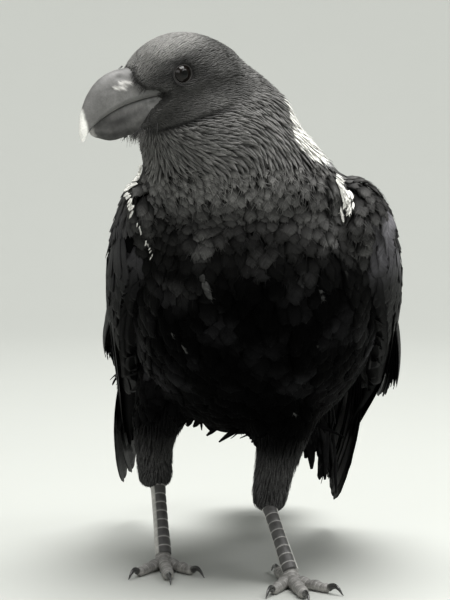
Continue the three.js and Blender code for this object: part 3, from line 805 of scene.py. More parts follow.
def trace(surf, roots, lab, length, steps, lie_fn, swing):
    """Points, normals and travel directions along a feather laid on the skin; metres, except length in mm."""
    n = len(roots)
    P = np.empty((n, len(steps), 3))
    Nn = np.empty_like(P)
    T = np.empty_like(P)
    cur = roots.copy()
    nrm = surf.normal(cur)
    d = lie_fn(U(cur), lab)
    # swing each feather a little about its normal
    side = np.cross(nrm, d)
    d = unit(d * np.cos(swing)[:, None] + side * np.sin(swing)[:, None])
    prev = 0.0
    for k, s in enumerate(steps):
        step = (s - prev) * length * 0.001
        prev = s
        if k:
            base = lie_fn(U(cur), lab)
            d = unit(d * 0.75 + base * 0.25)
        t = unit(d - (d * nrm).sum(1, keepdims=True) * nrm)
        cur = cur + t * step[:, None]
        near = surf.near(cur)
        nrm = unit(0.5 * nrm + 0.5 * surf.normal(near))
        cur = near
        P[:, k], Nn[:, k], T[:, k] = cur, nrm, t
        d = t
    return P, Nn, T


# ------------------------------------------------------------------ vanes
def width_profile(kind, t):
    t = np.asarray(t, float)
    if kind == "round":  # broad and rounded
        w = 0.42 + 0.58 * sstep(0, 0.5, t)
        return w * np.sqrt(np.clip(1 - np.clip((t - 0.62) / 0.40, 0, 1) ** 2.4, 0.03, 1))
    if kind == "lance":  # pointed hackle
        w = 0.5 + 0.5 * sstep(0, 0.3, t)
        return w * np.clip(1 - np.clip((t - 0.25) / 0.77, 0, 1) ** 1.6, 0.04, 1)
    if kind == "flight":
        w = 0.35 + 0.65 * sstep(0, 0.3, t)
        return w * np.sqrt(np.clip(1 - np.clip((t - 0.72) / 0.29, 0, 1) ** 2.2, 0.03, 1))
    if kind == "bristle":
        return np.clip(1 - t, 0.12, 1)
    w = 0.45 + 0.55 * sstep(0, 0.35, t)  # soft
    return w * np.sqrt(np.clip(1 - np.clip((t - 0.5) / 0.52, 0, 1) ** 2, 0.05, 1))


class Coat:
    """Gathers vanes as arrays and writes them as joined closed meshes."""

    def __init__(self):
        self.chunks = []

    def add(self, P, Nn, T, W, H, cols, cup, thick, tint, uvroot, ridge=0.0, curl=None, skew=0.0, ragged=0.0, fray=0.0):
        """P, Nn, T: (n,k,3) metres. W: (n,k) half width mm. H: (n,k) height mm. tint: (n,k,c,3) or (n,k,3) or (n,3)."""
        n, k = P.shape[:2]
        S = unit(np.cross(Nn, T))
        u = np.linspace(-1, 1, cols)
        Wc = W[:, :, None] * u[None, None, :]
        Wc = Wc * np.where(u > 0, 1 + skew, 1 - skew)[None, None, :]
        if ragged:
            j = 1 + ragged * (rng.random((n, k, 2)) - 0.5) * sstep(0.25, 0.6, np.linspace(0, 1, k))[None, :, None]
            Wc = Wc * np.where(u[None, None] < 0, j[..., :1], j[..., 1:])
        lift = H[:, :, None] - np.asarray(cup).reshape(-1, 1, 1) * W[:, :, None] * (u**2)[None, None, :]
        lift = lift + ridge * np.clip(1 - np.abs(u) * 3.0, 0, 1)[None, None, :]
        top = P[:, :, None] + (S[:, :, None] * Wc[..., None] + Nn[:, :, None] * lift[..., None]) * 0.001
        if fray:
            comb = (rng.random((n, cols)) - 0.5) * fray
            comb = comb[:, None, :] * sstep(0.5, 1.0, np.linspace(0, 1, k))[None, :, None]
            top = top + T[:, :, None] * (comb[..., None] * 0.001)
        inner = cols - 2
        taper = np.linspace(1, 0.45, k)[None, :, None]
        th = np.asarray(thick).reshape(-1, 1, 1) * taper
        low = top[:, :, 1:-1] - Nn[:, :, None] * (th[..., None] * 0.001)
        m = cols + inner
        V = np.concatenate([top, low[:, :, ::-1]], 2)  # ring order: over the top, back underneath
        along = np.concatenate([np.zeros((n, 1)), np.cumsum(np.linalg.norm(np.diff(P, axis=1), axis=2), 1)], 1) * 1000
        mmu = np.concatenate([Wc, Wc[:, :, 1:-1][:, :, ::-1]], 2)
        mmv = np.broadcast_to(along[:, :, None], mmu.shape)
        tint = np.asarray(tint, float)
        if tint.ndim == 2:
            tint = tint[:, None, None]
        elif tint.ndim == 3:
            tint = tint[:, :, None]
        tint = np.broadcast_to(tint, (n, k, tint.shape[2], 3))
        if tint.shape[2] == 1:
            C = np.broadcast_to(tint, (n, k, m, 3))
        else:
            C = np.concatenate([tint, tint[:, :, 1:-1][:, :, ::-1]], 2)
        seed = rng.random(n) * 40
        C = np.concatenate([C, np.broadcast_to(seed[:, None, None, None], (n, k, m, 1))], 3)
        loc = np.stack([
            np.concatenate([u, u[1:-1][::-1]])[None].repeat(k, 0) * 0.5,
            np.linspace(-0.5, 0.5, k)[:, None].repeat(m, 1),
        ], -1)
        bake = uvroot[:, None, None] + loc[None] * 0.003
        # faces
        i, j = np.meshgrid(np.arange(k - 1), np.arange(m), indexing="ij")
        a = i * m + j
        b = i * m + (j + 1) % m
        q = np.stack([a, b, b + m, a + m], -1).reshape(-1, 4)
        base = (np.arange(n) * k * m)[:, None, None]
        quads = (q[None] + base).reshape(-1, 4)
        root = np.arange(m)[::-1]
        tip = (k - 1) * m + np.arange(m)
        caps = np.concatenate([(root[None] + base[:, 0]), (tip[None] + base[:, 0])])
        self.chunks.append(dict(
            V=V.reshape(-1, 3), q=quads, caps=caps, m=m, C=C.reshape(-1, 4),
            mm=np.stack([mmu, mmv], -1).reshape(-1, 2), bake=bake.reshape(-1, 2),
            tris=n * ((k - 1) * m * 2 + 2 * (m - 2)),
        ))

    def write(self, name, mat, slot, *nodes):
        total = sum(c["tris"] for c in self.chunks)
        V, C, MMU, BK = [], [], [], []
        faces = []
        base = 0
        for c in self.chunks:
            V.append(c["V"])
            C.append(c["C"])
            MMU.append(c["mm"])
            BK.append(c["bake"])
            faces += [c["q"] + base, c["caps"] + base]
            base += len(c["V"])
        V = np.concatenate(V)
        C = np.concatenate(C)
        MMU = np.concatenate(MMU)
        BK = np.concatenate(BK)
        me, loops = fast_mesh(name, V, faces)
        a = me.attributes.new("Tint", "FLOAT_COLOR", "POINT")
        a.data.foreach_set("color", C.astype(np.float32).ravel())
        loops = np.empty(len(me.loops), np.int32)
        me.loops.foreach_get("vertex_index", loops)
        uv = me.uv_layers.new(name="OFBake")
        uv.data.foreach_set("uv", BK[loops].astype(np.float32).ravel())
        uv2 = me.uv_layers.new(name="VaneMM")
        uv2.data.foreach_set("uv", MMU[loops].astype(np.float32).ravel())
        ob = link(name, me)
        piece(ob, mat, slot, *nodes)
        print("COAT", name, "tris", total)
        assert total < 200000, (name, total)
        return ob


def strands(coat, P, Nn, T, W, H, t, base, white, uvroot, count, length):
    """Loose barbs that stand past a feather's rounded end and soften its edge."""
    n, k = W.shape
    for _ in range(count):
        t0 = 0.5 + 0.48 * rng.random(n)
        u0 = (2 * rng.random(n) - 1) * 0.97
        f = t0 * 0 + np.interp(t0, t, np.arange(k))
        i = np.minimum(f.astype(int), k - 2)
        w = (f - i)[:, None]
        a = np.arange(n)
        lerp = lambda M: M[a, i] * (1 - w) + M[a, i + 1] * w
        p, nn, tt = lerp(P), unit(lerp(Nn)), unit(lerp(T))
        half = lerp(W[..., None])[:, 0]
        h = lerp(H[..., None])[:, 0]
        s = unit(np.cross(nn, tt))
        out = 0.75 * u0 + rng.normal(0, 0.18, n)
        d = unit(tt * np.cos(out)[:, None] + s * np.sin(out)[:, None] + nn * (0.05 + 0.12 * rng.random(n))[:, None])
        root = p + (s * (u0 * half)[:, None] + nn * (h - 0.25 * half * u0**2 - 0.05)[:, None]) * 0.001
        L = length * (0.5 + 0.8 * rng.random(n))
        q = np.array([0, 0.55, 1.0])
        PP = root[:, None] + d[:, None] * (L[:, None] * q[None] * 0.001)[..., None]
        TT = np.repeat(d[:, None], 3, 1)
        NN = unit(nn[:, None] - (nn[:, None] * TT).sum(-1, keepdims=True) * TT)
        WW = np.broadcast_to(np.array([0.16, 0.12, 0.04])[None], (n, 3))
        c = base * (0.7 + 0.7 * rng.random((n, 1)))
        c = c * (1 - white[:, None]) + 0.7 * white[:, None]
        coat.add(PP, NN, TT, WW, np.zeros((n, 3)), 3, 0.1, 0.12, c, uvroot)


def unwrap(p, lo=None, hi=None):
    """A place on the skin's own unwrap: round the spine, and along it. p in mm."""
    path = np.concatenate([smooth_rows([head_out([30, 0, 0]), head_out([-20, 0, -8]), [-14, -46, 300]], 20), NECK_PATH[14:30], TRUNK_PATH[14:]])
    tan = unit(np.gradient(path, axis=0))
    d2 = ((p[:, None] - path[None]) ** 2).sum(-1)
    i = d2.argmin(1)
    rel = p - path[i]
    along = i + (rel * tan[i]).sum(1) / 6.0
    ref = unit(np.cross(tan[i], np.array([1.0, 0, 0])))
    ang = np.arctan2(rel[:, 0], (rel * ref).sum(1))
    uv = np.stack([ang / (2 * np.pi) + 0.5, along / len(path)], 1)
    lo = uv.min(0) if lo is None else lo
    hi = uv.max(0) if hi is None else hi
    return 0.01 + 0.98 * (uv - lo) / np.maximum(hi - lo, 1e-6)


# ------------------------------------------------------------------ roots over the skin
def scatter(spacing_fn, mask_fn, density=1.0, seed=1):
    """The skin's faces as triangles, quads split in two, with a seeded random generator."""
    g = np.random.default_rng(seed)
    me = skin_me
    tri = []
    for p in me.polygons:
        v = p.vertices
        tri.append((v[0], v[1], v[2]))
        if len(v) == 4:
            tri.append((v[0], v[2], v[3]))
    return np.array(tri), g


TRI, _g = scatter(None, None)
A, B, C_ = SV2[TRI[:, 0]], SV2[TRI[:, 1]], SV2[TRI[:, 2]]
TRI_AREA = 0.5 * np.linalg.norm(np.cross(B - A, C_ - A), axis=1) * 1e6
TRI_MID = (A + B + C_) / 3
TRI_LAB = S_LAB[TRI[:, 0]]


def roots_on_skin(spacing, keep, seed):
    """spacing and keep are functions of (mm points, labels)."""
    g = np.random.default_rng(seed)
    mm = U(TRI_MID)
    ok = keep(mm, TRI_LAB)
    sp = np.maximum(spacing(mm, TRI_LAB), 0.8)
    want = np.where(ok, TRI_AREA / (sp**2) * 3.2, 0)
    n = int(want.sum())
    pick = g.choice(len(TRI), size=n, p=want / want.sum())
    r1, r2 = np.sqrt(g.random(n)), g.random(n)
    pts = A[pick] * (1 - r1)[:, None] + B[pick] * (r1 * (1 - r2))[:, None] + C_[pick] * (r1 * r2)[:, None]
    pm = U(pts)
    lab = TRI_LAB[pick]
    s = np.maximum(spacing(pm, lab), 0.8) * 0.86
    cell = {}
    size = max(float(s.max()), 1.0)
    out = []
    keys = np.floor(pm / size).astype(int)
    for i in range(n):
        kx, ky, kz = keys[i]
        p = pm[i]
        r2_ = s[i] * s[i]
        good = True
        for dx in (-1, 0, 1):
            for dy in (-1, 0, 1):
                for dz in (-1, 0, 1):
                    for q in cell.get((kx + dx, ky + dy, kz + dz), ()):
                        e = (p[0] - q[0]) ** 2 + (p[1] - q[1]) ** 2 + (p[2] - q[2]) ** 2
                        if e < r2_:
                            good = False
                            break
                    if not good:
                        break
                if not good:
                    break
            if not good:
                break
        if good:
            cell.setdefault((kx, ky, kz), []).append((p[0], p[1], p[2]))
            out.append(i)
    out = np.array(out)
    return pts[out], lab[out]


def head_weight(p):
    h = head_in(p)
    return sstep(-33.5, -28.5, h[:, 2] + 0.03 * (h[:, 0] - 10)) * sstep(-52, -44, h[:, 0])


def outside_face(p, margin=0.8):
    h = head_in(p)
    poly = [[x + margin, z] for x, z in FACE_EDGE] + [[120, -34], [120, 30]]
    bill = in_poly(h[:, 0], h[:, 2], poly) & (np.abs(h[:, 1]) < 30) & (h[:, 0] > 8)
    eye = (np.hypot(h[:, 0] - EYE["f"], (h[:, 2] - EYE["up"]) * 1.08) < 7.9) & (np.abs(h[:, 1]) > 8) & (np.abs(h[:, 2]) < 12)
    return ~bill & ~eye


STEPS = {
    13: np.linspace(0, 1, 13) ** 0.9,
    5: np.array([0, 0.3, 0.62, 0.86, 1.0]),
    6: np.array([0, 0.25, 0.5, 0.74, 0.9, 1.0]),
    7: np.array([0, 0.2, 0.42, 0.62, 0.8, 0.92, 1.0]),
    9: np.array([0, 0.16, 0.33, 0.5, 0.64, 0.77, 0.87, 0.95, 1.0]),
}


def neck_tint(p, lab):
    # the hackles take the painted face shade too
    return plumage_tint(p, lab) * (1 - 0.9 * painted_face_shade(p))[:, None] * (1 + 0.18 * wavy(p, 0.12, 83))[:, None]


def body_tint(p, lab):
    c = plumage_tint(p, lab)
    low = sstep(226, 200, p[:, 2])
    side_ = 0.35 + 0.65 * sstep(0, 34, np.abs(p[:, 0] - 6))
    # painted highlights: lighter smudges low on the dark belly, stronger towards its sides, as stray glossy feathers
    # catching the light
    belly_glints = np.clip(wavy(p, 0.15, 84) + 0.02, 0, 2) * 15.0 * low * side_ * sstep(114, 128, p[:, 2])
    return c * (1 + 0.15 * wavy(p, 0.1, 85) + belly_glints)[:, None]


def lay(coat, roots, lab, length, half, kind, rows, cols, lift0, lift1, tint_fn, cup=0.25, thick=0.25, swing=0.12,
        edge=0.6, tipc=0.8, ridge=0.0, ragged=0.0, root_shade=0.8, lie_fn=None, fluff=0.0, surf=None, markings=True, skew=0.0,
        fray=0.0, vary=0.3, fringe=0, fringe_len=2.6, puff=0.0, ramp=(0.0, 0.5), spread=0.0):
    """Lays one kind of feather at each root. length and half width in mm, lifts in mm at root and tip."""
    n = len(roots)
    if n == 0:
        return
    t = STEPS[rows]
    length = length * (1 + 0.24 * (rng.random(n) - 0.5))
    lock = wavy(U(roots), 0.42, 71) * 0.6 + wavy(U(roots), 0.16, 72) * 0.6
    sw = rng.normal(0, swing, n) + lock * swing * 1.1
    P, Nn, T = trace(surf or BODY, roots, lab, length, t, lie_fn or lie, sw)
    w = width_profile(kind, t)
    W = (half * (1 + spread * (2 * rng.random(n) - 1)))[:, None] * w[None]
    up = rng.random(n) * fluff
    l0, l1 = np.broadcast_to(lift0, (n,)), np.broadcast_to(lift1, (n,)) + up
    l1 = l0 + (l1 - l0) * (1 + 0.3 * wavy(U(roots), 0.5, 73) + 0.3 * (rng.random(n) - 0.5))
    H = l0[:, None] + (l1 - l0)[:, None] * (t[None] ** 0.9) * (1 - puff * sstep(0.62, 1.0, t) ** 1.5)[None]
    if markings:
        H = H + (whiteness(U(P[:, 1])) * 0.8)[:, None] * t[None] ** 0.5
    m = len(t)
    per = 1 + vary * (2 * rng.random((n, 1)) - 1)
    rows_c = tint_fn(U(P.reshape(-1, 3)), np.repeat(lab, m)).reshape(n, m, 3) * per[:, None]
    base = rows_c[:, -2]
    u = np.linspace(-1, 1, cols)
    # painted shade and highlight: each vane is darker towards its root, where the feather above shades it (root_shade,
    # lifting over ramp), and towards its side edges (edge), as shade in the gaps; tipc above 1 paints the raised tip
    # lighter where it catches the light, below 1 darker
    grad = (root_shade + (1 - root_shade) * sstep(ramp[0], ramp[1], t))[:, None] * (1 - (1 - edge) * np.abs(u)[None] ** 2.0)
    grad = grad * (1 - (1 - tipc) * sstep(0.8, 1.0, t))[:, None]
    tint4 = rows_c[:, :, None, :] * grad[None, :, :, None]
    white = whiteness(U(P[:, -2]))
    white = np.where(white > 0.35 + 0.3 * rng.random(n), 1.0, 0.0) * (1.0 if markings else 0.0)
    ivory = np.array([0.80, 0.79, 0.75])
    # the white feathers carry a little of the same painted shade
    wt = ivory * (0.86 + 0.14 * grad)[None, :, :, None]
    tint4 = tint4 * (1 - white)[:, None, None, None] + wt * white[:, None, None, None]
    coat.add(P, Nn, T, W, H, cols, cup, thick, tint4, unwrap(U(roots)), ridge=ridge, ragged=ragged, skew=skew,
             fray=fray)
    if fringe:
        strands(coat, P, Nn, T, W, H, t, base, white, unwrap(U(roots)), fringe, fringe_len)


# head: tiny velvet feathers
def keep_head(p, lab):
    return (head_weight(p) > 0.5) & outside_face(p) & (lab != 0) & (head_in(p)[:, 0] > -60)


def sp_head(p, lab):
    h = head_in(p)
    return 0.84 + 0.36 * sstep(0, -44, h[:, 0])


def face_tint(p, lab):
    # the face feathers take the painted shade round the eye, gape and jaw
    c = plumage_tint(p, lab) * (1 - painted_face_shade(p))[:, None]
    return c * (1 + 0.16 * wavy(p, 0.30, 81) + 0.10 * wavy(p, 0.9, 82))[:, None]


r, l = roots_on_skin(sp_head, keep_head, 11)
hh = head_in(U(r))
f = sstep(24, -42, hh[:, 0])
for part, sel in (("left", hh[:, 1] >= 0), ("right", hh[:, 1] < 0)):
    c = Coat()
    lay(c, r[sel], l[sel], (2.8 + 3.6 * f)[sel], (0.44 + 0.34 * f)[sel], "lance", 5, 3, 0.25, (0.62 + 0.4 * f)[sel], face_tint,
        cup=0.1, thick=0.08, swing=0.13, edge=1.0, tipc=1.08, root_shade=0.85, vary=0.12)
    c.write("coat_head_" + part, M_SOFT, "neck_plumage")
print("head feathers", len(r))


# hackles of throat and neck
def keep_neck(p, lab):
    return (head_weight(p) <= 0.5) & (p[:, 2] > bib(p)) & outside_face(p) & (lab <= 2)


def bib(p):
    """Where the hackles give way to rounded breast feathers."""
    front = np.clip(268.5 + 0.07 * p[:, 0], 256, 272)
    back = sstep(-40, -4, p[:, 1])
    return front * (1 - back) + 244 * back + 3.5 * wavy(p, 0.11, 86)


def neck_grow(p):
    h = head_in(p)
    return np.clip(sstep(-28, -68, h[:, 2] + 0.15 * h[:, 0]), 0, 1)


r, l = roots_on_skin(lambda p, lab: 1.4 + 0.9 * neck_grow(p) ** 1.2, keep_neck, 12)
g = neck_grow(U(r))
c = Coat()
lay(c, r, l, 6.0 + 4.5 * g, 0.8 + 0.75 * g, "lance", 7, 3, 0.15, 1.5 + 0.9 * g, neck_tint, cup=0.25, thick=0.18, swing=0.26,
    edge=0.75, tipc=1.25, root_shade=0.22, vary=0.35, fray=0.6)
c.write("coat_neck", M_SOFT, "neck_plumage")
print("hackles", len(r))


# breast and belly
def keep_body(p, lab):
    return (p[:, 2] <= bib(p)) & ((lab == 0) | (lab == 1) | ((lab >= 3) & (p[:, 2] > 112)))


def sp_body(p, lab):
    front = sstep(60, 20, p[:, 1] - (200 - p[:, 2]) * 0.9)
    return 3.0 + 1.5 * sstep(0, 22, bib(p) - p[:, 2]) + 1.1 * sstep(235, 190, p[:, 2]) + 0.9 * (1 - front)


r, l = roots_on_skin(sp_body, keep_body, 13)
pm = U(r)
front = pm[:, 1] < (40 + (200 - pm[:, 2]) * 0.9)
low = sstep(240, 185, pm[:, 2])
near = sstep(0, 26, bib(pm) - pm[:, 2])
zr = pm[:, 2] + 14 * (np.random.default_rng(5).random(len(pm)) - 0.5)
for part, sel, mat, fr in (
    ("breast", front & (zr >= 208), M_BREAST, 10),
    ("belly", front & (zr < 208), M_BELLY, 4),
    ("back", ~front, M_BODY, 2),
):
    c = Coat()
    k, q = low[sel], near[sel]
    if part == "back":
        lay(c, r[sel], l[sel], 20 + 10 * k, 5.0 + 1.2 * k, "round", 9, 5, 0.3, 2.6 + 0.6 * k, plumage_tint, cup=0.10,
            thick=0.28, swing=0.13, edge=0.94, tipc=1.0, root_shade=0.5, ridge=0.12, ragged=0.25, fray=2.0, vary=0.22, fringe=fr, puff=0.05)
    else:
        lay(c, r[sel], l[sel], 9 + 4.5 * q + 9 * k, 2.1 + 2.9 * q + 1.5 * k, "round", 7, 5, 0.25, 2.3 + 0.8 * q + 0.9 * k,
            body_tint, cup=0.15, thick=0.20, swing=0.30, edge=0.66, tipc=0.98, root_shade=0.09, ridge=0.02, ragged=0.42, fray=3.4,
            vary=0.24, fringe=fr, fringe_len=4.8 + 0.4 * k, puff=0.35, ramp=(0.30, 0.96), spread=0.32)
    c.write("coat_" + part, mat, "plumage")
print("body feathers", len(r), front.sum())


# thighs
def keep_thigh(p, lab):
    return (lab >= 3) & (p[:, 2] <= 114)


r, l = roots_on_skin(lambda p, lab: 1.6 + 0.7 * sstep(60, 110, p[:, 2]), keep_thigh, 14)
c = Coat()
g = sstep(50, 110, U(r)[:, 2])
lay(c, r, l, 8.5 + 7 * g, 0.7 + 0.8 * g, "lance", 6, 3, 0.15, 1.3 + 0.8 * g, plumage_tint, cup=0.15, thick=0.14, swing=0.2, edge=0.9,
    tipc=1.15, root_shade=0.55, ragged=0.2, vary=0.3, fray=0.8)
c.write("coat_thighs", M_BREAST, "plumage")
print("thigh feathers", len(r))


# ------------------------------------------------------------------ bill
def bill_rings(rows, count, half, ridge, drop=0.0):
    r = smooth_rows(rows, count)
    a = np.pi * np.arange(half + 1) / half
    lift = np.sin(a) ** ridge
    lift[0] = lift[-1] = 0.0
    rx, rz, ex, ez, w = (r[:, k : k + 1] for k in range(5))
    x = ex + (rx - ex) * lift[None]
    y = w * np.cos(a)[None]
    z = ez + (rz - ez) * lift[None] - drop
    sgn = np.where(rz > ez, 1.0, -1.0)
    u = np.linspace(-1, 1, half + 1)[1:-1]
    cx = np.broadcast_to(ex, (count, len(u)))
    cy = w * u[None]
    cz = ez + sgn * (0.35 + 1.6 * (1 - u[None] ** 2) * np.clip(w / 8, 0, 1)) - drop
    return np.concatenate([np.stack([x, y, z], -1), np.stack([cx, cy, cz], -1)], 1), lift


NOSTRIL = np.array([43.5, 9.3, 15.6])


def make_bill():
    n, half = 90, 40
    rings, lift = bill_rings(BILL_ROWS, n, half, 0.72)
    top = rings[:, : half + 1]
    s = np.linspace(0, 1, n)[:, None] * (len(BILL_ROWS) - 1)
    lf = np.concatenate([lift, np.full(half - 1, 0.0)])[None]
    s, lf = np.broadcast_to(s, rings.shape[:2]), np.broadcast_to(lf, rings.shape[:2])
    # growth lines, a groove in front of the nostril and a pressed-in nostril
    ab = np.stack([rings[..., 0], np.abs(rings[..., 1]), rings[..., 2]], -1)
    dn = np.linalg.norm((ab - NOSTRIL) * np.array([0.62, 0.5, 1.15]), axis=-1)
    pit = np.exp(-((dn / 1.9) ** 2))
    bare = np.exp(-((np.linalg.norm((ab - np.array([43.5, 10, 9.0])) * np.array([0.5, 0.4, 0.92]), axis=-1) / 3.7) ** 2))
    bare = sstep(0.3, 0.75, bare * (1 + 0.9 * wavy(ab, 1.3, 25)))
    groove = np.exp(-((ab[..., 2] - (8.6 + 0.13 * (ab[..., 0] - 50))) / 1.5) ** 2) * sstep(36, 44, ab[..., 0]) * sstep(66, 52, ab[..., 0])
    lines = wavy(rings * np.array([1, 0, 0.25]), 1.5, 3)
    inward = 1.5 * pit + 0.32 * groove + 0.07 * lines * (lf > 0.02) - 0.4 * bare * (1 + 0.7 * wavy(ab, 2.4, 5))
    centre = rings.mean(1, keepdims=True)
    out = unit(rings - centre)
    rings = rings - out * inward[..., None]
    horn = np.array([0.118, 0.116, 0.113])
    c = np.broadcast_to(horn, rings.shape).copy()
    shade = 1 + 0.12 * wavy(ab, 0.22, 8) + 0.05 * lines
    c *= shade[..., None]
    # paler at the cutting edge and below the nostril
    c += (0.035 * np.exp(-((lf / 0.16) ** 2)) * (s > 0.6))[..., None]
    # painted shade: the pressed-in nostril pit is darker, as shade in the hollow
    c = c * (1 - 0.75 * pit[..., None])
    c = c * (1 - bare[..., None]) + np.array([0.50, 0.49, 0.47]) * (0.75 + 0.5 * wavy(ab, 1.9, 6))[..., None] * bare[..., None]
    base = sstep(40, 30, ab[..., 0] - 0.25 * ab[..., 2])
    c = c * (1 - 0.22 * base)[..., None]
    edge = s - (6.25 + 1.5 * (1 - lf) ** 0.8 + 0.1 * wavy(ab, 0.6, 4))
    iv = sstep(-0.25, 0.25, edge)[..., None]
    c = c * (1 - iv) + np.array([0.93, 0.92, 0.88]) * iv
    c = np.clip(c, 0.004, 1)
    ob = link("bill_upper_horn", tube_mesh("bill_upper_horn", D(head_out(rings)), {"Tint": c}))
    piece(ob, M_BILL, "bill_horn", "bill_upper")

    rings, lift = bill_rings(JAW_ROWS_RIDGE, n, half, 0.62)
    rings[..., 2] += 0.8 * (1 - np.concatenate([lift, np.zeros(half - 1)]))[None] * sstep(0.02, 0.12, np.linspace(0, 1, n))[:, None]
    rings[..., 1] *= 0.975
    lf = np.broadcast_to(np.concatenate([lift, np.zeros(half - 1)])[None], rings.shape[:2])
    s = np.broadcast_to(np.linspace(0, 1, n)[:, None] * (len(JAW_ROWS) - 1), rings.shape[:2])
    # the edge tucks inside the upper bill
    ab = np.stack([rings[..., 0], np.abs(rings[..., 1]), rings[..., 2]], -1)
    lines = wavy(rings * np.array([1, 0, 0.3]), 1.4, 13)
    centre = rings.mean(1, keepdims=True)
    rings = rings - unit(rings - centre) * (0.06 * lines + 0.10)[..., None]
    c = np.broadcast_to(np.array([0.084, 0.082, 0.080]), rings.shape).copy()
    # painted shadow: a dark patch over the middle of the mandible's side and another along its lower part
    mid = np.exp(-(((ab[..., 0] - 52 - 0.6 * (ab[..., 2] + 13)) / 9.5) ** 2 + ((ab[..., 2] + 12.5) / 3.6) ** 2))
    low = np.exp(-(((ab[..., 0] - 58) / 10) ** 2 + ((ab[..., 2] + 21) / 3.2) ** 2))
    back = sstep(42, 24, ab[..., 0])
    c = c * (1 - 0.85 * np.clip(mid + 0.8 * low, 0, 1))[..., None]
    c = c + (0.055 * back + 0.03 * np.exp(-(((lf - 0.3) / 0.22) ** 2)) * sstep(62, 40, ab[..., 0]))[..., None]
    c = c * (1 + 0.42 * wavy(ab, 0.35, 19) + 0.22 * wavy(ab, 1.0, 20))[..., None]
    c = c * (1 - 0.6 * sstep(22, 14, ab[..., 0]))[..., None]
    tip = sstep(6.6, 7.7, s + 0.25 * wavy(ab, 0.9, 14))[..., None]
    c = c * (1 - tip) + np.array([0.36, 0.35, 0.34]) * tip
    c *= (1 + 0.14 * wavy(ab, 0.3, 18))[..., None]
    ob = link("bill_lower_horn", tube_mesh("bill_lower_horn", D(head_out(rings)), {"Tint": np.clip(c, 0.004, 1)}))
    piece(ob, M_BILL, "bill_horn", "bill_lower")


# the jaw's rows list its cutting edge first; turned round so that both bills are built alike
JAW_ROWS_RIDGE = [[c, d, a, b, w] for a, b, c, d, w in JAW_ROWS]
make_bill()


# ------------------------------------------------------------------ eyes and lids
def eye_material():
    mt, nt, bs, node, lk = material("eye_wet")
    tint = node("Attribute", attribute_name="Tint", attribute_type="GEOMETRY")
    tc = node("TexCoord")
    n1 = node("TexNoise", Scale=2600.0, Detail=3.0)
    lk(tc.outputs["Object"], n1.inputs["Vector"])
    mul = node("VectorMath", operation="SCALE")
    lk(tint.outputs["Color"], mul.inputs[0])
    lk(remap(nt, n1.outputs[0], 0.3, 0.7, 0.7, 1.3), mul.inputs["Scale"])
    lk(mul.outputs[0], bs.inputs["Base Color"])
    lk(remap(nt, n1.outputs[0], 0.3, 0.7, 0.06, 0.11), bs.inputs["Roughness"])
    bs.inputs["Specular IOR Level"].default_value = 0.05
    bs.inputs["Coat Weight"].default_value = 0.34
    bs.inputs["Coat IOR"].default_value = 1.5
    bs.inputs["Coat Roughness"].default_value = 0.02
    bump = node("Bump", Strength=0.04, Distance=0.0001)
    lk(n1.outputs[0], bump.inputs["Height"])
    lk(bump.outputs[0], bs.inputs["Normal"])
    return mt


M_EYE = eye_material()


def dish_y(rho):
    return EYE["dish_at"] - np.sqrt(np.maximum(EYE["dish"] ** 2 - rho**2, 0))


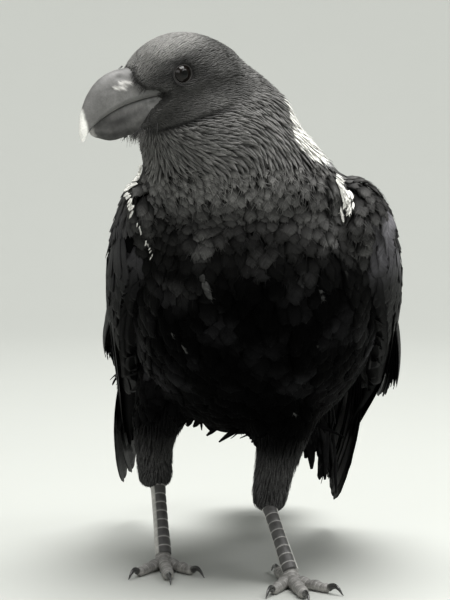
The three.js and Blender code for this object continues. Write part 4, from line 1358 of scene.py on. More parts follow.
def make_eye(name, sgn):
    n, m = 46, 48
    th = np.linspace(0.012, math.pi - 0.05, n)
    ph = 2 * np.pi * np.arange(m) / m
    r = EYE["r"] * (1 + 0.035 * (1 - sstep(0.35, 0.62, th)))
    rho = (r * np.sin(th))[:, None]
    p = np.stack([
        EYE["f"] + rho * np.cos(ph)[None],
        np.broadcast_to(sgn * (EYE["side"] + (r * np.cos(th))[:, None]), (n, m)),
        EYE["up"] + rho * np.sin(ph)[None],
    ], -1)
    pupil, iris, white = np.array([0.002, 0.002, 0.002]), np.array([0.006, 0.0046, 0.0038]), np.array([0.01, 0.009, 0.009])
    a = sstep(0.33, 0.37, th)[:, None, None]
    b = sstep(0.74, 0.80, th)[:, None, None]
    streak = (1 + 0.3 * np.sin(ph * 17 + 1.1) * np.sin(ph * 7))[None, :, None]
    c = pupil * (1 - a) + iris * streak * a
    c = c * (1 - b) + white * b
    ob = link(name + "_ball", tube_mesh(name + "_ball", D(head_out(p)), {"Tint": np.broadcast_to(c, p.shape)}))
    piece(ob, M_EYE, "eye", name)
    # the lids: a bare ring folded over the ball, thicker above, with a pale beaded edge
    n, m = 14, 110
    ph = 2 * np.pi * np.arange(m) / m
    upper = np.clip(np.sin(ph), 0, 1)
    openx, openz = 6.5, np.where(np.sin(ph) > 0, 5.6, 6.0)
    prof = np.linspace(0, 1, n)
    rings = []
    tint = []
    for k, t in enumerate(prof):
        # from inside the opening, over the rim and out to the feathers
        grow = t * 2.3
        rx, rz = openx + grow, openz + grow
        x, z = rx * np.cos(ph), rz * np.sin(ph)
        rho = np.hypot(x, z)
        ball = EYE["side"] + np.sqrt(np.maximum(EYE["r"] ** 2 - np.minimum(rho, 8.1) ** 2, 0.0))
        skin_y = dish_y(np.minimum(rho, 12)) - 0.15
        rim = 0.5 * math.exp(-((t - 0.12) / 0.13) ** 2) * (1 + 0.7 * upper) + 0.35 * math.exp(-((t - 0.62) / 0.13) ** 2)
        y = np.maximum(ball, skin_y) + rim + 0.05 * np.sin(ph * 41) * math.exp(-((t - 0.14) / 0.1) ** 2)
        if k == 0:
            y = ball - 0.25
        rings.append(np.stack([EYE["f"] + x, sgn * y, EYE["up"] + z], -1))
        pale = math.exp(-((t - 0.12) / 0.09) ** 2)
        col = np.array([0.018, 0.017, 0.017]) * (1 - pale) + np.array([0.075, 0.072, 0.068]) * pale
        tint.append(np.broadcast_to(col, (m, 3)) * (0.85 + 0.3 * (np.sin(ph * 41) > 0))[:, None])
    outer = np.array(rings)
    inner = outer.copy()[::-1]
    inner[..., 1] -= sgn * 0.8
    loop = np.concatenate([outer, inner])
    tt = np.concatenate([np.array(tint), np.array(tint)[::-1]])
    # a closed ring: rows run across the fold, columns round the eye
    k, m = loop.shape[:2]
    i, j = np.meshgrid(np.arange(k), np.arange(m), indexing="ij")
    q = np.stack([i * m + j, i * m + (j + 1) % m, ((i + 1) % k) * m + (j + 1) % m, ((i + 1) % k) * m + j], -1).reshape(-1, 4)
    if sgn < 0:
        q = q[:, ::-1]
    me, _ = fast_mesh(name + "_lids", D(head_out(loop.reshape(-1, 3))), [q])
    set_attr(me, "Tint", tt.reshape(-1, 3))
    piece(link(name + "_lids", me), M_SKIN, "plumage")


make_eye("eye_left", 1)
make_eye("eye_right", -1)


# ------------------------------------------------------------------ bristles round the bill
def bristles():
    """Short stiff bristles over the nostrils, before the eyes, at the gape and under the chin."""
    c = Coat()
    roots, dirs, lens, cols = [], [], [], []
    g = np.random.default_rng(21)

    def add(n, p, spread, d, dspread, length, tint):
        for sgn in (1, -1):
            q = np.array(p, float) + g.normal(size=(n, 3)) * np.array(spread)
            q[:, 1] *= sgn
            v = np.array(d, float) + g.normal(size=(n, 3)) * dspread
            v[:, 1] *= sgn
            roots.append(q)
            dirs.append(unit(v))
            lens.append(length * (0.7 + 0.6 * g.random(n)))
            cols.append(np.broadcast_to(np.array(tint) * (0.7 + 0.6 * g.random((n, 1))), (n, 3)))

    dark = [0.030, 0.029, 0.028]
    add(24, (30.5, 8.8, 14), (1.0, 0.8, 2.2), (1, 0.10, -0.20), 0.12, 4.6, dark)
    add(24, (30.5, 10.0, 9), (1.0, 0.6, 2.0), (1, 0.08, -0.26), 0.12, 4.4, dark)
    add(20, (27, 10.8, 3.5), (2.0, 0.5, 1.4), (1, 0.08, -0.3), 0.12, 4.2, dark)
    add(16, (17, 11.0, -6.0), (1.5, 0.4, 1.0), (1, 0.10, -0.1), 0.12, 3.6, dark)
    add(30, (38, 2.2, -25.6), (4.0, 2.2, 0.7), (0.55, 0.0, -0.85), 0.22, 6.6, [0.16, 0.155, 0.15])
    add(34, (33, 4.5, -24.5), (5.5, 2.2, 0.9), (0.35, 0.1, -0.95), 0.22, 6.0, [0.05, 0.049, 0.048])
    edge_pts = smooth_rows([[15.5, 9.6, -7.5], [16, 9.7, -11.5], [24, 9.6, -14.8], [34, 9.2, -18.3], [43, 8.4, -22.6], [47, 6.5, -26]], 60)
    for k in range(0, 60, 2):
        add(3, edge_pts[k] + np.array([-1.2, 0.2, -0.4]), (1.0, 0.3, 0.8), (0.9, 0.16, -0.42), 0.2, 4.2, [0.045, 0.044, 0.043])
    R, Dv, L, Ct = (np.concatenate(v) for v in (roots, dirs, lens, cols))
    t = STEPS[6]
    droop = np.array([0, 0, -1.0])
    Rm = head_out(R)
    Dm = Dv @ HEAD_R.T
    P = Rm[:, None] + (Dm[:, None] * t[None, :, None] + droop * (0.28 * t[None, :, None] ** 2)) * (L[:, None, None] * HEAD["scale"])
    T = unit(np.gradient(P, axis=1))
    outw = np.repeat((np.sign(R[:, 1:2]) * HEAD_R[:, 1][None] + 0.3 * HEAD_R[:, 2][None])[:, None], len(t), 1)
    Nn = unit(outw - (outw * T).sum(-1, keepdims=True) * T)
    n = len(R)
    W = np.broadcast_to(0.26 * np.clip(1 - t, 0.2, 1)[None], (n, len(t)))
    H = np.zeros((n, len(t)))
    c.add(D(P), Nn, T, W, H, 3, 0.1, 0.2, Ct, unwrap(Rm))
    c.write("coat_bristles", M_SOFT, "neck_plumage")


bristles()


# ------------------------------------------------------------------ wings
def wing_rows(count):
    return smooth_rows(WING_ROWS, count)


def wing_grid(w, rows, across, out, shrink=0.0):
    """Points (rows, across, 3) on a wing band's outer (out=1) or inner (out=-1) face, mm."""
    i = np.arange(len(rows))
    bef, aft = rows[np.maximum(i - 1, 0)], rows[np.minimum(i + 1, len(rows) - 1)]
    ch = unit(np.stack([np.zeros(len(rows)), aft[:, 0] - bef[:, 0], aft[:, 1] - bef[:, 1]], 1))
    rise = np.stack([np.zeros(len(rows)), -ch[:, 2], ch[:, 1]], 1)
    y, z, down, up, x, lean, thick = (rows[:, k : k + 1] for k in range(7))
    down, up, thick = np.maximum(down - shrink, 1.0), np.maximum(up - shrink, 1.0), np.maximum(thick - shrink * 0.55, 0.7)
    a = across[None]
    h = a * np.where(a > 0, up, down)
    q = (a + 1) / 2
    edge = np.sqrt(np.maximum(0, 1 - a**4))
    pinch = w["shoulder"] * (1 - sstep(-20, 50, y))
    inward = lean * q**2.4 + 0.35 * lean * (1 - q) ** 4
    X = w["middle"] + w["sway"] * sstep(88, 158, y) + w["side"] * (x - pinch - inward - (thick + shrink * 0.55) + out * thick * edge)
    Y = y + rise[:, None, 1] * h
    Z = z + rise[:, None, 2] * h + w["lift"] * (1 - sstep(-10, 60, y))
    return np.stack([X, Y, Z], -1)


def wing_sa(p, rows):
    """Nearest (s, across) on the band for points p, by their place in the side view."""
    c = rows[:, :2]
    i = np.arange(len(rows))
    ch = unit(c[np.minimum(i + 1, len(rows) - 1)] - c[np.maximum(i - 1, 0)])
    d2 = ((p[:, None, 1:] - c[None]) ** 2).sum(-1)
    k = d2.argmin(1)
    rel = p[:, 1:] - c[k]
    h = -ch[k, 1] * rel[:, 0] + ch[k, 0] * rel[:, 1]
    a = h / np.where(h > 0, rows[k, 3], rows[k, 2])
    return k / (len(rows) - 1), a, ch[k]


def line_blades(coat, root, tip, half, face, bow, tint, kind="flight", rows=13, cols=7, thick=0.42, camber=0.10, skew=0.0,
                twist=0.0, ridge=0.5, ragged=0.05, edge=0.7, lift=None, tipdrop=0.0, tipc=0.9):
    """Long feathers from root to tip (n,3) in mm, bowed towards face."""
    root, tip, face = (np.asarray(v, float) for v in (root, tip, face))
    n = len(root)
    t = np.linspace(0, 1, rows) ** 0.9
    along = tip - root
    side = unit(np.cross(along, np.broadcast_to(face, root.shape)))
    out = unit(np.cross(side, along))
    bow = np.broadcast_to(np.asarray(bow, float), (n,))
    P = root[:, None] + along[:, None] * t[None, :, None] + out[:, None] * (bow[:, None] * 4 * t * (1 - t))[..., None]
    P = P - out[:, None] * (tipdrop * t[None] ** 3)[..., None]
    T = unit(np.gradient(P, axis=1))
    N0 = out[:, None] + side[:, None] * (np.broadcast_to(np.asarray(twist, float), (n,))[:, None] * t)[..., None]
    Nn = unit(N0 - (N0 * T).sum(-1, keepdims=True) * T)
    w = width_profile(kind, t)
    W = np.asarray(half, float)[:, None] * w[None]
    H = np.zeros((n, rows)) if lift is None else np.broadcast_to(np.asarray(lift, float)[:, None], (n, rows))
    u = np.linspace(-1, 1, cols)
    # painted shade: each vane darkens towards its side edges, where its neighbours overlap it, and tipc scales its tip
    grad = (1 - (1 - edge) * np.abs(u)[None] ** 2.5) * (1 - (1 - tipc) * sstep(0.86, 1.0, t))[:, None]
    tt = np.asarray(tint, float).reshape(-1, 1, 1, 3) * grad[None, :, :, None]
    tt = np.broadcast_to(tt, (n, rows, cols, 3))
    tt = tt * (1 + 0.18 * (rng.random((n, 1, 1, 1)) - 0.5))
    coat.add(D(P), Nn, T, W, H, cols, np.full(n, camber), thick, tt, unwrap(root), ridge=ridge, skew=skew, ragged=ragged)


WING_C = np.array([0.0125, 0.0122, 0.0132])


def front_tint(p, lab):
    c = body_tint(p, lab)
    top = sstep(226, 242, p[:, 2]) * sstep(56, 68, np.abs(p[:, 0] - 2)) * 0.45
    w_ = (sstep(-34, 2, p[:, 1]) * sstep(200, 226, p[:, 2]))[:, None]
    return c * (1 - top)[:, None] * (1 - w_) + 0.021 * w_


def wing_front(p):
    """Where breast feathers, not the wing's own, lie over its front edge."""
    low = sstep(160, 250, p[:, 2])
    return (p[:, 1] < 4) & (p[:, 0] > -65 + 8.5 * sstep(238, 208, p[:, 2]) - 9 * sstep(204, 150, p[:, 2])) & (p[:, 0] < 77 - 3 * (1 - low) + 30 * sstep(237, 250, p[:, 2]))


def side_of(name):
    return WINGS[name]["side"]


def wing_tint(name):
    w = WINGS[name]
    rows = wing_rows(90)

    def fn(p, lab):
        s, a, _ = wing_sa(p, rows)
        c = np.repeat(WING_C[None], len(p), 0)
        # the wrist patch is paler, partly its coverts' own tone and partly painted light, far stronger on the left
        # wing; the wing is painted lighter high up and darker low down, as light from above and shade below
        wrist = sstep(252, 232, p[:, 2]) * sstep(186, 212, p[:, 2]) * sstep(0.45, -0.1, a)
        c = c * (1 + (7.0 if side_of(name) > 0 else 1.2) * wrist[:, None])
        c = c * (1 + 0.6 * sstep(214, 236, p[:, 2]))[:, None]
        c = c * (1 - 0.90 * sstep(218, 168, p[:, 2]) * sstep(0.45, -0.1, a))[:, None]
        return c * (1 + 0.2 * wavy(p, 0.12, 90))[:, None]

    return fn


def make_wing(name):
    w = WINGS[name]
    side = w["side"]
    rows = wing_rows(56)
    fine = wing_rows(90)
    across = np.linspace(-1, 1, 27)
    outer = wing_grid(w, rows, across, 1, shrink=3.2)
    innr = wing_grid(w, rows, across[1:-1][::-1], -1, shrink=3.2)
    rings = np.concatenate([outer, innr], 1)[1:-2]
    rings[..., 1] = np.maximum(rings[..., 1], -36)
    me = tube_mesh("wing_core_" + name, D(rings), {"Tint": np.broadcast_to(np.array([0.0016, 0.0016, 0.0017]), rings.shape)})
    core = link("wing_core_" + name, me)
    piece(core, M_CORE, "plumage", "wing_" + name)
    v = np.empty(len(me.vertices) * 3, np.float32)
    me.vertices.foreach_get("co", v)
    v = v.reshape(-1, 3).astype(float)
    nn = np.empty(len(me.vertices) * 3, np.float32)
    me.vertices.foreach_get("normal", nn)
    nn = nn.reshape(-1, 3).astype(float)
    surf = Surface(v, [tuple(p.vertices) for p in me.polygons], nn)
    tint = wing_tint(name)

    def lie_wing(p, lab):
        s, a, ch = wing_sa(p, fine)
        d = np.stack([np.zeros(len(p)), ch[:, 0], ch[:, 1]], 1)
        rise = np.stack([np.zeros(len(p)), -ch[:, 1], ch[:, 0]], 1)
        bend = 0.2 * sstep(-0.2, -1.0, a) * sstep(0.5, 0.1, s)
        d = d - rise * (0.22 * sstep(-0.3, 0.8, a) * sstep(0.5, 0.2, s))[:, None] + rise * bend[:, None]
        w_ = (sstep(34, -34, p[:, 1]) * 0.85)[:, None]
        return unit(d * (1 - w_) + np.array([side * 0.10, 0.12, -1.0]) * w_)

    def blades(n, s0, a0, s1, a1, half, lift, tintf=1.0, kind="flight", out_tip=0.0, rows_n=13, camber=0.10, skew=0.0):
        """Blades on the wing face between two places given as (s, across) lines."""
        k = np.linspace(0, 1, n)
        P = []
        t = np.linspace(0, 1, rows_n)
        S0, A0 = s0[0] + (s0[1] - s0[0]) * k, a0[0] + (a0[1] - a0[0]) * k
        S1, A1 = s1[0] + (s1[1] - s1[0]) * k, a1[0] + (a1[1] - a1[0]) * k
        big = wing_rows(201)
        grid = wing_grid(w, big, np.linspace(-1, 1, 81), 1, shrink=1.5)
        gi = grid
        dx = np.gradient(gi, axis=0)
        dy = np.gradient(gi, axis=1)
        gn = unit(np.cross(dy, dx)) * 1.0
        if (gn[100, 40] * np.array([side, 0, 0])).sum() < 0:
            gn = -gn
        SS = S0[:, None] + (S1 - S0)[:, None] * t[None]
        AA = A0[:, None] + (A1 - A0)[:, None] * t[None] ** 1.3
        ii = np.clip(np.round(SS * 200).astype(int), 0, 200)
        jj = np.clip(np.round((np.clip(AA, -0.97, 0.97) + 1) * 40).astype(int), 0, 80)
        P = gi[ii, jj]
        # smooth the index steps out
        for _ in range(3):
            P[:, 1:-1] = 0.25 * P[:, :-2] + 0.5 * P[:, 1:-1] + 0.25 * P[:, 2:]
        Nn = unit(gn[ii, jj] * np.array([1.0, 0.25, 0.25]) + np.array([side * 0.6, 0, 0]))
        T = unit(np.gradient(P, axis=1))
        Nn = unit(Nn - (Nn * T).sum(-1, keepdims=True) * T)
        W = np.linspace(half[0], half[1], n)[:, None] * width_profile(kind, t)[None]
        base = np.linspace(lift[0], lift[1], n)[:, None]
        H = base + np.linspace(0, 1, rows_n)[None] * out_tip
        cols = 7
        u = np.linspace(-1, 1, cols)
        # painted shade: darker towards each vane's side edges, where its neighbours overlap it
        grad = 1 - 0.42 * np.abs(u)[None] ** 2.5 + 0 * t[:, None]
        tt = tint(P[:, rows_n // 3], None)[:, None, None] * tintf * grad[None, :, :, None]
        tt = tt * (1 + 0.16 * (rng.random((n, 1, 1, 1)) - 0.5))
        c.add(D(P), Nn, T, W, H, cols, np.full(n, camber), 0.4, tt, unwrap(P[:, 0]), ridge=0.45, skew=skew, ragged=0.05)

    # flight feathers, drawn as they fold: primaries under secondaries, tertials on top
    c = Coat()
    x = lambda q: w["middle"] + side * q
    tip = np.array(w["tip"], float)
    back = np.array([0, -0.76, 0.65])
    m = 13
    i = np.linspace(5.0, 0, m)
    prim_root = np.stack([x(w["root"] - i * 3.2), 88 + i * 5, 128 + i * 8], 1)
    prim_tip = tip + back * (i * 18 + np.minimum(i, 1) * 4)[:, None] + np.stack([-side * i * 3.9, i * 1.6, i * 1.2], 1)
    prim_tip += rng.normal(0, 1, (m, 3)) * np.array([1.3, 1.5, 2.2])
    line_blades(c, prim_root, prim_tip, np.full(m, 12.0), np.array([side, 0.12, 0.3]), 5.0, WING_C * 0.3, thick=0.45, skew=0.2 * side,
                rows=17, cols=7, ragged=0.12, lift=np.linspace(-1.2, 0.8, m))
    i = np.linspace(3.3, 0, 8)
    sec_root = np.stack([x(86 + 0 * i), 22 + 16 * i, 180 - 8 * i], 1)
    sec_tip = np.stack([x(w["edge"][0] - 2.5 * i), 84 + 22 * i, w["edge"][1] - 5 * i + (np.round(i) % 2) * 3], 1)
    line_blades(c, sec_root, sec_tip, np.full(8, 11.0), np.array([side, -0.15, 0.1]), 4.0, WING_C * 0.35, thick=0.45, skew=0.2 * side,
                rows=15, ragged=0.04)
    blades(9, (0.40, 0.34), (-0.72, 0.30), (0.985, 0.80), (-0.35, 0.40), (9.5, 11), (0.1, 1.6), 1.0, skew=0.2 * side)
    blades(6, (0.34, 0.26), (-0.30, 0.62), (0.88, 0.70), (-0.05, 0.62), (10, 10.5), (1.3, 2.4), 1.1, skew=0.1 * side)
    c.write("coat_flight_" + name, M_FLIGHT, "plumage")

    tri = mesh_arrays(me)[2]

    def edge_soft(p):
        s, a, _ = wing_sa(p, fine)
        return 1 - 0.55 * sstep(0.55, 1.0, np.abs(a))

    # long smooth vanes hang from the wrist; the small feathers of the shoulder lie over their roots
    def free(p):
        return ~wing_front(p)

    low_end = lambda p: p[:, 2] < (240 if side > 0 else 230) - 0.10 * (p[:, 1] + 20)
    c = Coat()
    for spacing, lo, hi, length, half, lift, seed in ((8.5, 140, 206, 44, 7.2, 1.0, 61), (7.5, 194, 400, 40, 6.6, 1.7, 31)):
        r, _ = roots_on_mesh(v, tri, lambda p: spacing + 0 * p[:, 0],
                             lambda p: (wing_sa(p, fine)[0] < 0.52) & low_end(p) & free(p) & (p[:, 2] > lo) & (p[:, 2] < hi), seed + side)
        s, a, _ = wing_sa(U(r), fine)
        lay(c, r, np.zeros(len(r), int), length + 0 * s, half + 0 * s, "flight", 13, 7, 0.2, lift * edge_soft(U(r)), tint, cup=0.07,
            thick=0.3, swing=0.035, edge=0.8, tipc=0.9, root_shade=0.95, ridge=0.18, lie_fn=lie_wing, surf=surf, markings=False, vary=0.12,
            skew=0.1 * side)
    r, _ = roots_on_mesh(v, tri, lambda p: 4.2 + 1.6 * sstep(0.0, 0.6, wing_sa(p, fine)[1]),
                         lambda p: (wing_sa(p, fine)[0] < 0.60) & free(p) & (~low_end(p) | (wing_sa(p, fine)[1] > 0.78)), 41 + side)
    s, a, _ = wing_sa(U(r), fine)
    g = sstep(0.1, 0.5, s)
    up = sstep(0.0, 0.6, a)
    lay(c, r, np.zeros(len(r), int), 13 + 11 * g + 6 * up, 3.4 + 1.7 * g + 1.4 * up, "round", 7, 5, 0.9, (2.3 + 0.5 * g) * edge_soft(U(r)), tint,
        cup=0.14, thick=0.3, swing=0.16, edge=0.85, tipc=0.95, root_shade=0.4, ridge=0.12, lie_fn=lie_wing, surf=surf, markings=False,
        fray=1.6, vary=0.3, fringe=3, ragged=0.2, puff=0.35)
    c.write("coat_coverts_" + name, M_BODY, "plumage")
    print("coverts", name, len(r))


def roots_on_mesh(v, tri, spacing, keep, seed):
    g = np.random.default_rng(seed)
    a, b, c = v[tri[:, 0]], v[tri[:, 1]], v[tri[:, 2]]
    area_mm = 0.5 * np.linalg.norm(np.cross(b - a, c - a), axis=1) * 1e6
    mid = U((a + b + c) / 3)
    ok = keep(mid)
    sp = np.maximum(spacing(mid), 0.8)
    want = np.where(ok, area_mm / sp**2 * 3.2, 0)
    n = int(want.sum())
    pick = g.choice(len(tri), size=n, p=want / want.sum())
    r1, r2 = np.sqrt(g.random(n)), g.random(n)
    pts = a[pick] * (1 - r1)[:, None] + b[pick] * (r1 * (1 - r2))[:, None] + c[pick] * (r1 * r2)[:, None]
    return thin_out(pts, spacing(U(pts)) * 0.86), None


def thin_out(pts, s):
    pm = U(pts)
    size = max(float(s.max()), 1.0)
    cell, out = {}, []
    keys = np.floor(pm / size).astype(int)
    for i in range(len(pm)):
        kx, ky, kz = keys[i]
        p, r2 = pm[i], s[i] * s[i]
        if all(
            (p[0] - q[0]) ** 2 + (p[1] - q[1]) ** 2 + (p[2] - q[2]) ** 2 >= r2
            for dx in (-1, 0, 1) for dy in (-1, 0, 1) for dz in (-1, 0, 1)
            for q in cell.get((kx + dx, ky + dy, kz + dz), ())
        ):
            cell.setdefault((kx, ky, kz), []).append((p[0], p[1], p[2]))
            out.append(i)
    return pts[np.array(out)]


make_wing("left")
make_wing("right")


# ------------------------------------------------------------------ mantle, scapulars and the feathers over each wing's front
def make_mantle():
    parts = BODY_PARTS[:2]
    for name in ("left", "right"):
        rows = wing_rows(56)
        across = np.linspace(-1, 1, 27)
        outer = wing_grid(WINGS[name], rows, across, 1, shrink=1.2)
        innr = wing_grid(WINGS[name], rows, across[1:-1][::-1], -1, shrink=1.2)
        parts = parts + [np.concatenate([outer, innr], 1)]
    me, _, _ = voxel_mesh(parts, 0.0025, 12, "mantle_form")
    v, n, tri = mesh_arrays(me)
    mm = U(v)
    depth_ = np.linalg.norm(BODY.near(v) - v, axis=1) * 1000
    v = v - n * (0.001 * (0.2 + 3.0 * sstep(11, 5, depth_) * sstep(40, -10, mm[:, 1])))[:, None]
    surf = Surface(v, [tuple(t) for t in tri], n)
    mm = U(v)
    fine = wing_rows(90)
    db = np.linalg.norm(BODY.near(v) - v, axis=1) * 1000
    out = np.full(len(v), 99.0)
    for name in ("left", "right"):
        rows = wing_rows(56)
        g = wing_grid(WINGS[name], rows, np.linspace(-1, 1, 27), 1, shrink=3.0)[2:-3].reshape(-1, 3)
        kd = KDTree(len(g))
        for i, p in enumerate(g):
            kd.insert(p, i)
        kd.balance()
        out = np.minimum(out, np.array([kd.find(p)[2] for p in mm]))
    zone = (db < 17) & (out < 15)
    up = n[:, 2] > 0.05
    keep_v = zone & (mm[:, 1] > -60) & (mm[:, 2] > 118) & (up | ((n[:, 1] < -0.1) & (mm[:, 2] > 222)))
    fr_v = wing_front(mm) & (out < 15) & (mm[:, 2] > 132) & (mm[:, 2] < 266) & (n[:, 1] < 0.35) & (np.abs(mm[:, 0]) > 34)
    side_face = (np.abs(mm[:, 0] - 9) > 70) & (mm[:, 2] < 226 - 0.1 * (mm[:, 1] + 20)) & (mm[:, 1] < 60) & (n[:, 2] < 0.75)
    keep_v = keep_v & ~fr_v & ~side_face
    # each root takes the keep flags of the form's nearest vertex
    kd = KDTree(len(mm))
    for i, p in enumerate(mm):
        kd.insert(p, i)
    kd.balance()
    keep = lambda p: np.array([keep_v[kd.find(q)[1]] for q in p])
    keep_f = lambda p: np.array([fr_v[kd.find(q)[1]] for q in p])
    r, _ = roots_on_mesh(v, tri, lambda p: 4.5 + 1.1 * sstep(235, 190, p[:, 2]), keep_f, 52)
    pm = U(r)
    k = sstep(240, 185, pm[:, 2])
    c = Coat()
    lay(c, r, np.zeros(len(r), int), 13.0 + 9 * k, 4.3 + 1.9 * k, "round", 7, 5, 0.3, 2.7 + 0.9 * k, front_tint, cup=0.12, thick=0.20,
        swing=0.24, edge=0.68, tipc=0.98, root_shade=0.12, ridge=0.02, ragged=0.38, ramp=(0.30, 0.94), surf=surf, markings=False, fray=3.2, vary=0.22, fringe=9,
        fringe_len=4.2, puff=0.35, spread=0.25)
    white_marks(c, surf)
    c.write("coat_wing_front", M_BREAST, "plumage")
    r, _ = roots_on_mesh(v, tri, lambda p: 5.0 + 1.2 * sstep(0, 40, p[:, 1]), keep, 51)
    pm = U(r)
    rear = sstep(-20, 30, pm[:, 1])
    c = Coat()
    lab = np.zeros(len(r), int)
    lay(c, r, lab, 15 + 14 * rear, 3.6 + 2.2 * rear, "round", 8, 5, 0.2, 2.2 + 0.8 * rear, mantle_tint, cup=0.16, thick=0.28, swing=0.14,
        edge=0.92, tipc=1.0, root_shade=0.5, ridge=0.12, surf=surf, markings=True, fray=2.2, vary=0.22, fringe=3, ragged=0.3, puff=0.05)
    c.write("coat_mantle", M_BODY, "plumage")
    print("mantle", len(r))


WHITE_MARKS = [
    # x, y, z, spread mm, count, length, half width: the collar's right limb and the specks down the wing's front edge
    [(-60.4, -40.3, 263), (-62.5, -39.1, 258.5), (-64.4, -41, 252.5), 0.9, 22, 6.0, 1.3],
    [(-64.9, -40, 248), (-64.9, -46, 246), (-64.9, -50, 243.5), 0.6, 9, 3.6, 1.0],
    [(-65.0, -51, 241), (-65.1, -51.4, 240), (-65.1, -51.4, 238), 0.5, 5, 3.0, 0.9],
    [(-61.4, -52.8, 231), (-60.9, -52.7, 229), (-60.6, -52.5, 226.6), 0.25, 4, 1.8, 0.4],
    [(-57.0, -48, 221.2), (-55.2, -46, 216.6), (-53.9, -41.4, 210.1), 0.35, 9, 1.9, 0.4],
    [(59.0, -44, 260.4), (59.4, -48.7, 258.4), (60.6, -50.1, 255.4), 1.0, 12, 4.6, 1.1],
    [(60.9, -50.1, 254.6), (63.0, -49.4, 251.2), (65.0, -48.6, 246.4), 1.4, 24, 5.6, 1.3],
    [(65.6, -48.4, 244.4), (66.0, -49, 242), (66.1, -49.7, 240), 0.6, 9, 4.4, 1.0],
    [(60.4, -48.8, 241.2), (60.9, -48, 239), (61.4, -49, 236), 0.3, 7, 5.0, 0.8],
]


def white_marks(c, surf):
    g = np.random.default_rng(77)
    for a, b, d, spread, count, length, half in WHITE_MARKS:
        path = smooth_rows([a, b, d], count)
        path = path + g.normal(0, spread, (count, 3))
        r = surf.near(D(path))
        lay(c, r, np.zeros(count, int), np.full(count, float(length)), np.full(count, float(half)), "soft", 6, 3, 3.0, 4.3,
            lambda p, lab: np.repeat(np.array([[0.80, 0.79, 0.75]]), len(p), 0), cup=0.1, thick=0.15, swing=0.3, edge=1.0, tipc=1.0,
            root_shade=1.0, surf=surf, markings=False, fray=1.0, vary=0.1, fringe=2 if length > 4 else 0, fringe_len=2.0)


def mantle_tint(p, lab):
    front = sstep(0, -30, p[:, 1])[:, None]
    c = np.array([0.020, 0.0195, 0.021])
    f = np.array([0.034, 0.033, 0.034])
    f = f * (0.25 + 0.75 * sstep(195, 225, p[:, 2]))[:, None]
    return (c * (1 - front) + f * front) * (1 + 0.2 * wavy(p, 0.12, 91))[:, None]


STEPS[8] = np.array([0, 0.18, 0.37, 0.55, 0.72, 0.86, 0.95, 1.0])
make_mantle()


# ------------------------------------------------------------------ tail
def make_tail():
    c = Coat()
    root, tip = np.array(TAIL["root"], float), np.array(TAIL["tip"], float)
    k = np.array([-2.0, 2.0, -1.64, 1.64, -1.28, 1.28, -0.92, 0.92, -0.56, 0.56, -0.2, 0.2])
    lift = np.linspace(-1.6, 1.6, 12)
    r = root + np.stack([4 * k, 0 * k, -1.1 * np.abs(k)], 1) + np.outer(lift, (0, 0.1, 0.3))
    t = tip + np.stack([k * 11.5, -3.4 * np.abs(k) ** 1.4, -1.2 * np.abs(k)], 1) + np.outer(lift, (0, 0.2, 0.55))
    face = np.stack([0.09 * k, 0.35 + 0 * k, 1 + 0 * k], 1)
    line_blades(c, r, t, np.full(12, 13.5), face, 2.0, WING_C * 1.1, thick=0.4, rows=19, cols=9, camber=0.07, skew=0.0, ragged=0.03)
    # coverts above and below its root; each row's roots sit further up the body
    for rows, sgn in ((((124, 134, 204, 98), (113, 145, 186, 107), (101, 152, 166, 118), (88, 158, 146, 131)), 1),
                      (((118, 112, 204, 84), (108, 102, 186, 91), (98, 96, 166, 97)), -1)):
        for j, (y0, z0, y1, z1) in enumerate(rows):
            m = 9
            q = np.linspace(-1, 1, m)
            rr = np.stack([13.5 + (13 + 4 * j) * q, y0 + 0 * q, z0 - sgn * (4 + 2 * j) * q**2], 1)
            tt = np.stack([17.5 + (23 + 1.5 * j) * q, y1 - 6 * q**2, z1 - sgn * (3 + 1.5 * j) * q**2], 1)
            half_step = 0.5 * (j % 2) * (13 + 4 * j) / (m - 1) * 2
            rr = rr + rng.normal(0, 0.8, rr.shape) + np.array([half_step, 0, 0])
            drop = rng.normal(0, 1, m)[:, None] * np.array([[0, 5.0, -3.6 if sgn > 0 else -2.0]])
            tt = tt + rng.normal(0, 1.0, tt.shape) * np.array([1, 1, 0.3]) + np.array([half_step, 0, 0]) + drop
            line_blades(c, rr, tt, np.full(m, 8.0), np.stack([0.1 * q, 0.35 * sgn + 0 * q, sgn + 0 * q], 1), 2.0, WING_C * 1.2,
                        kind="round", rows=9, cols=5, thick=0.3, camber=0.2, ridge=0.2, ragged=0.1)
    c.write("coat_tail", M_FLIGHT, "plumage", "tail")


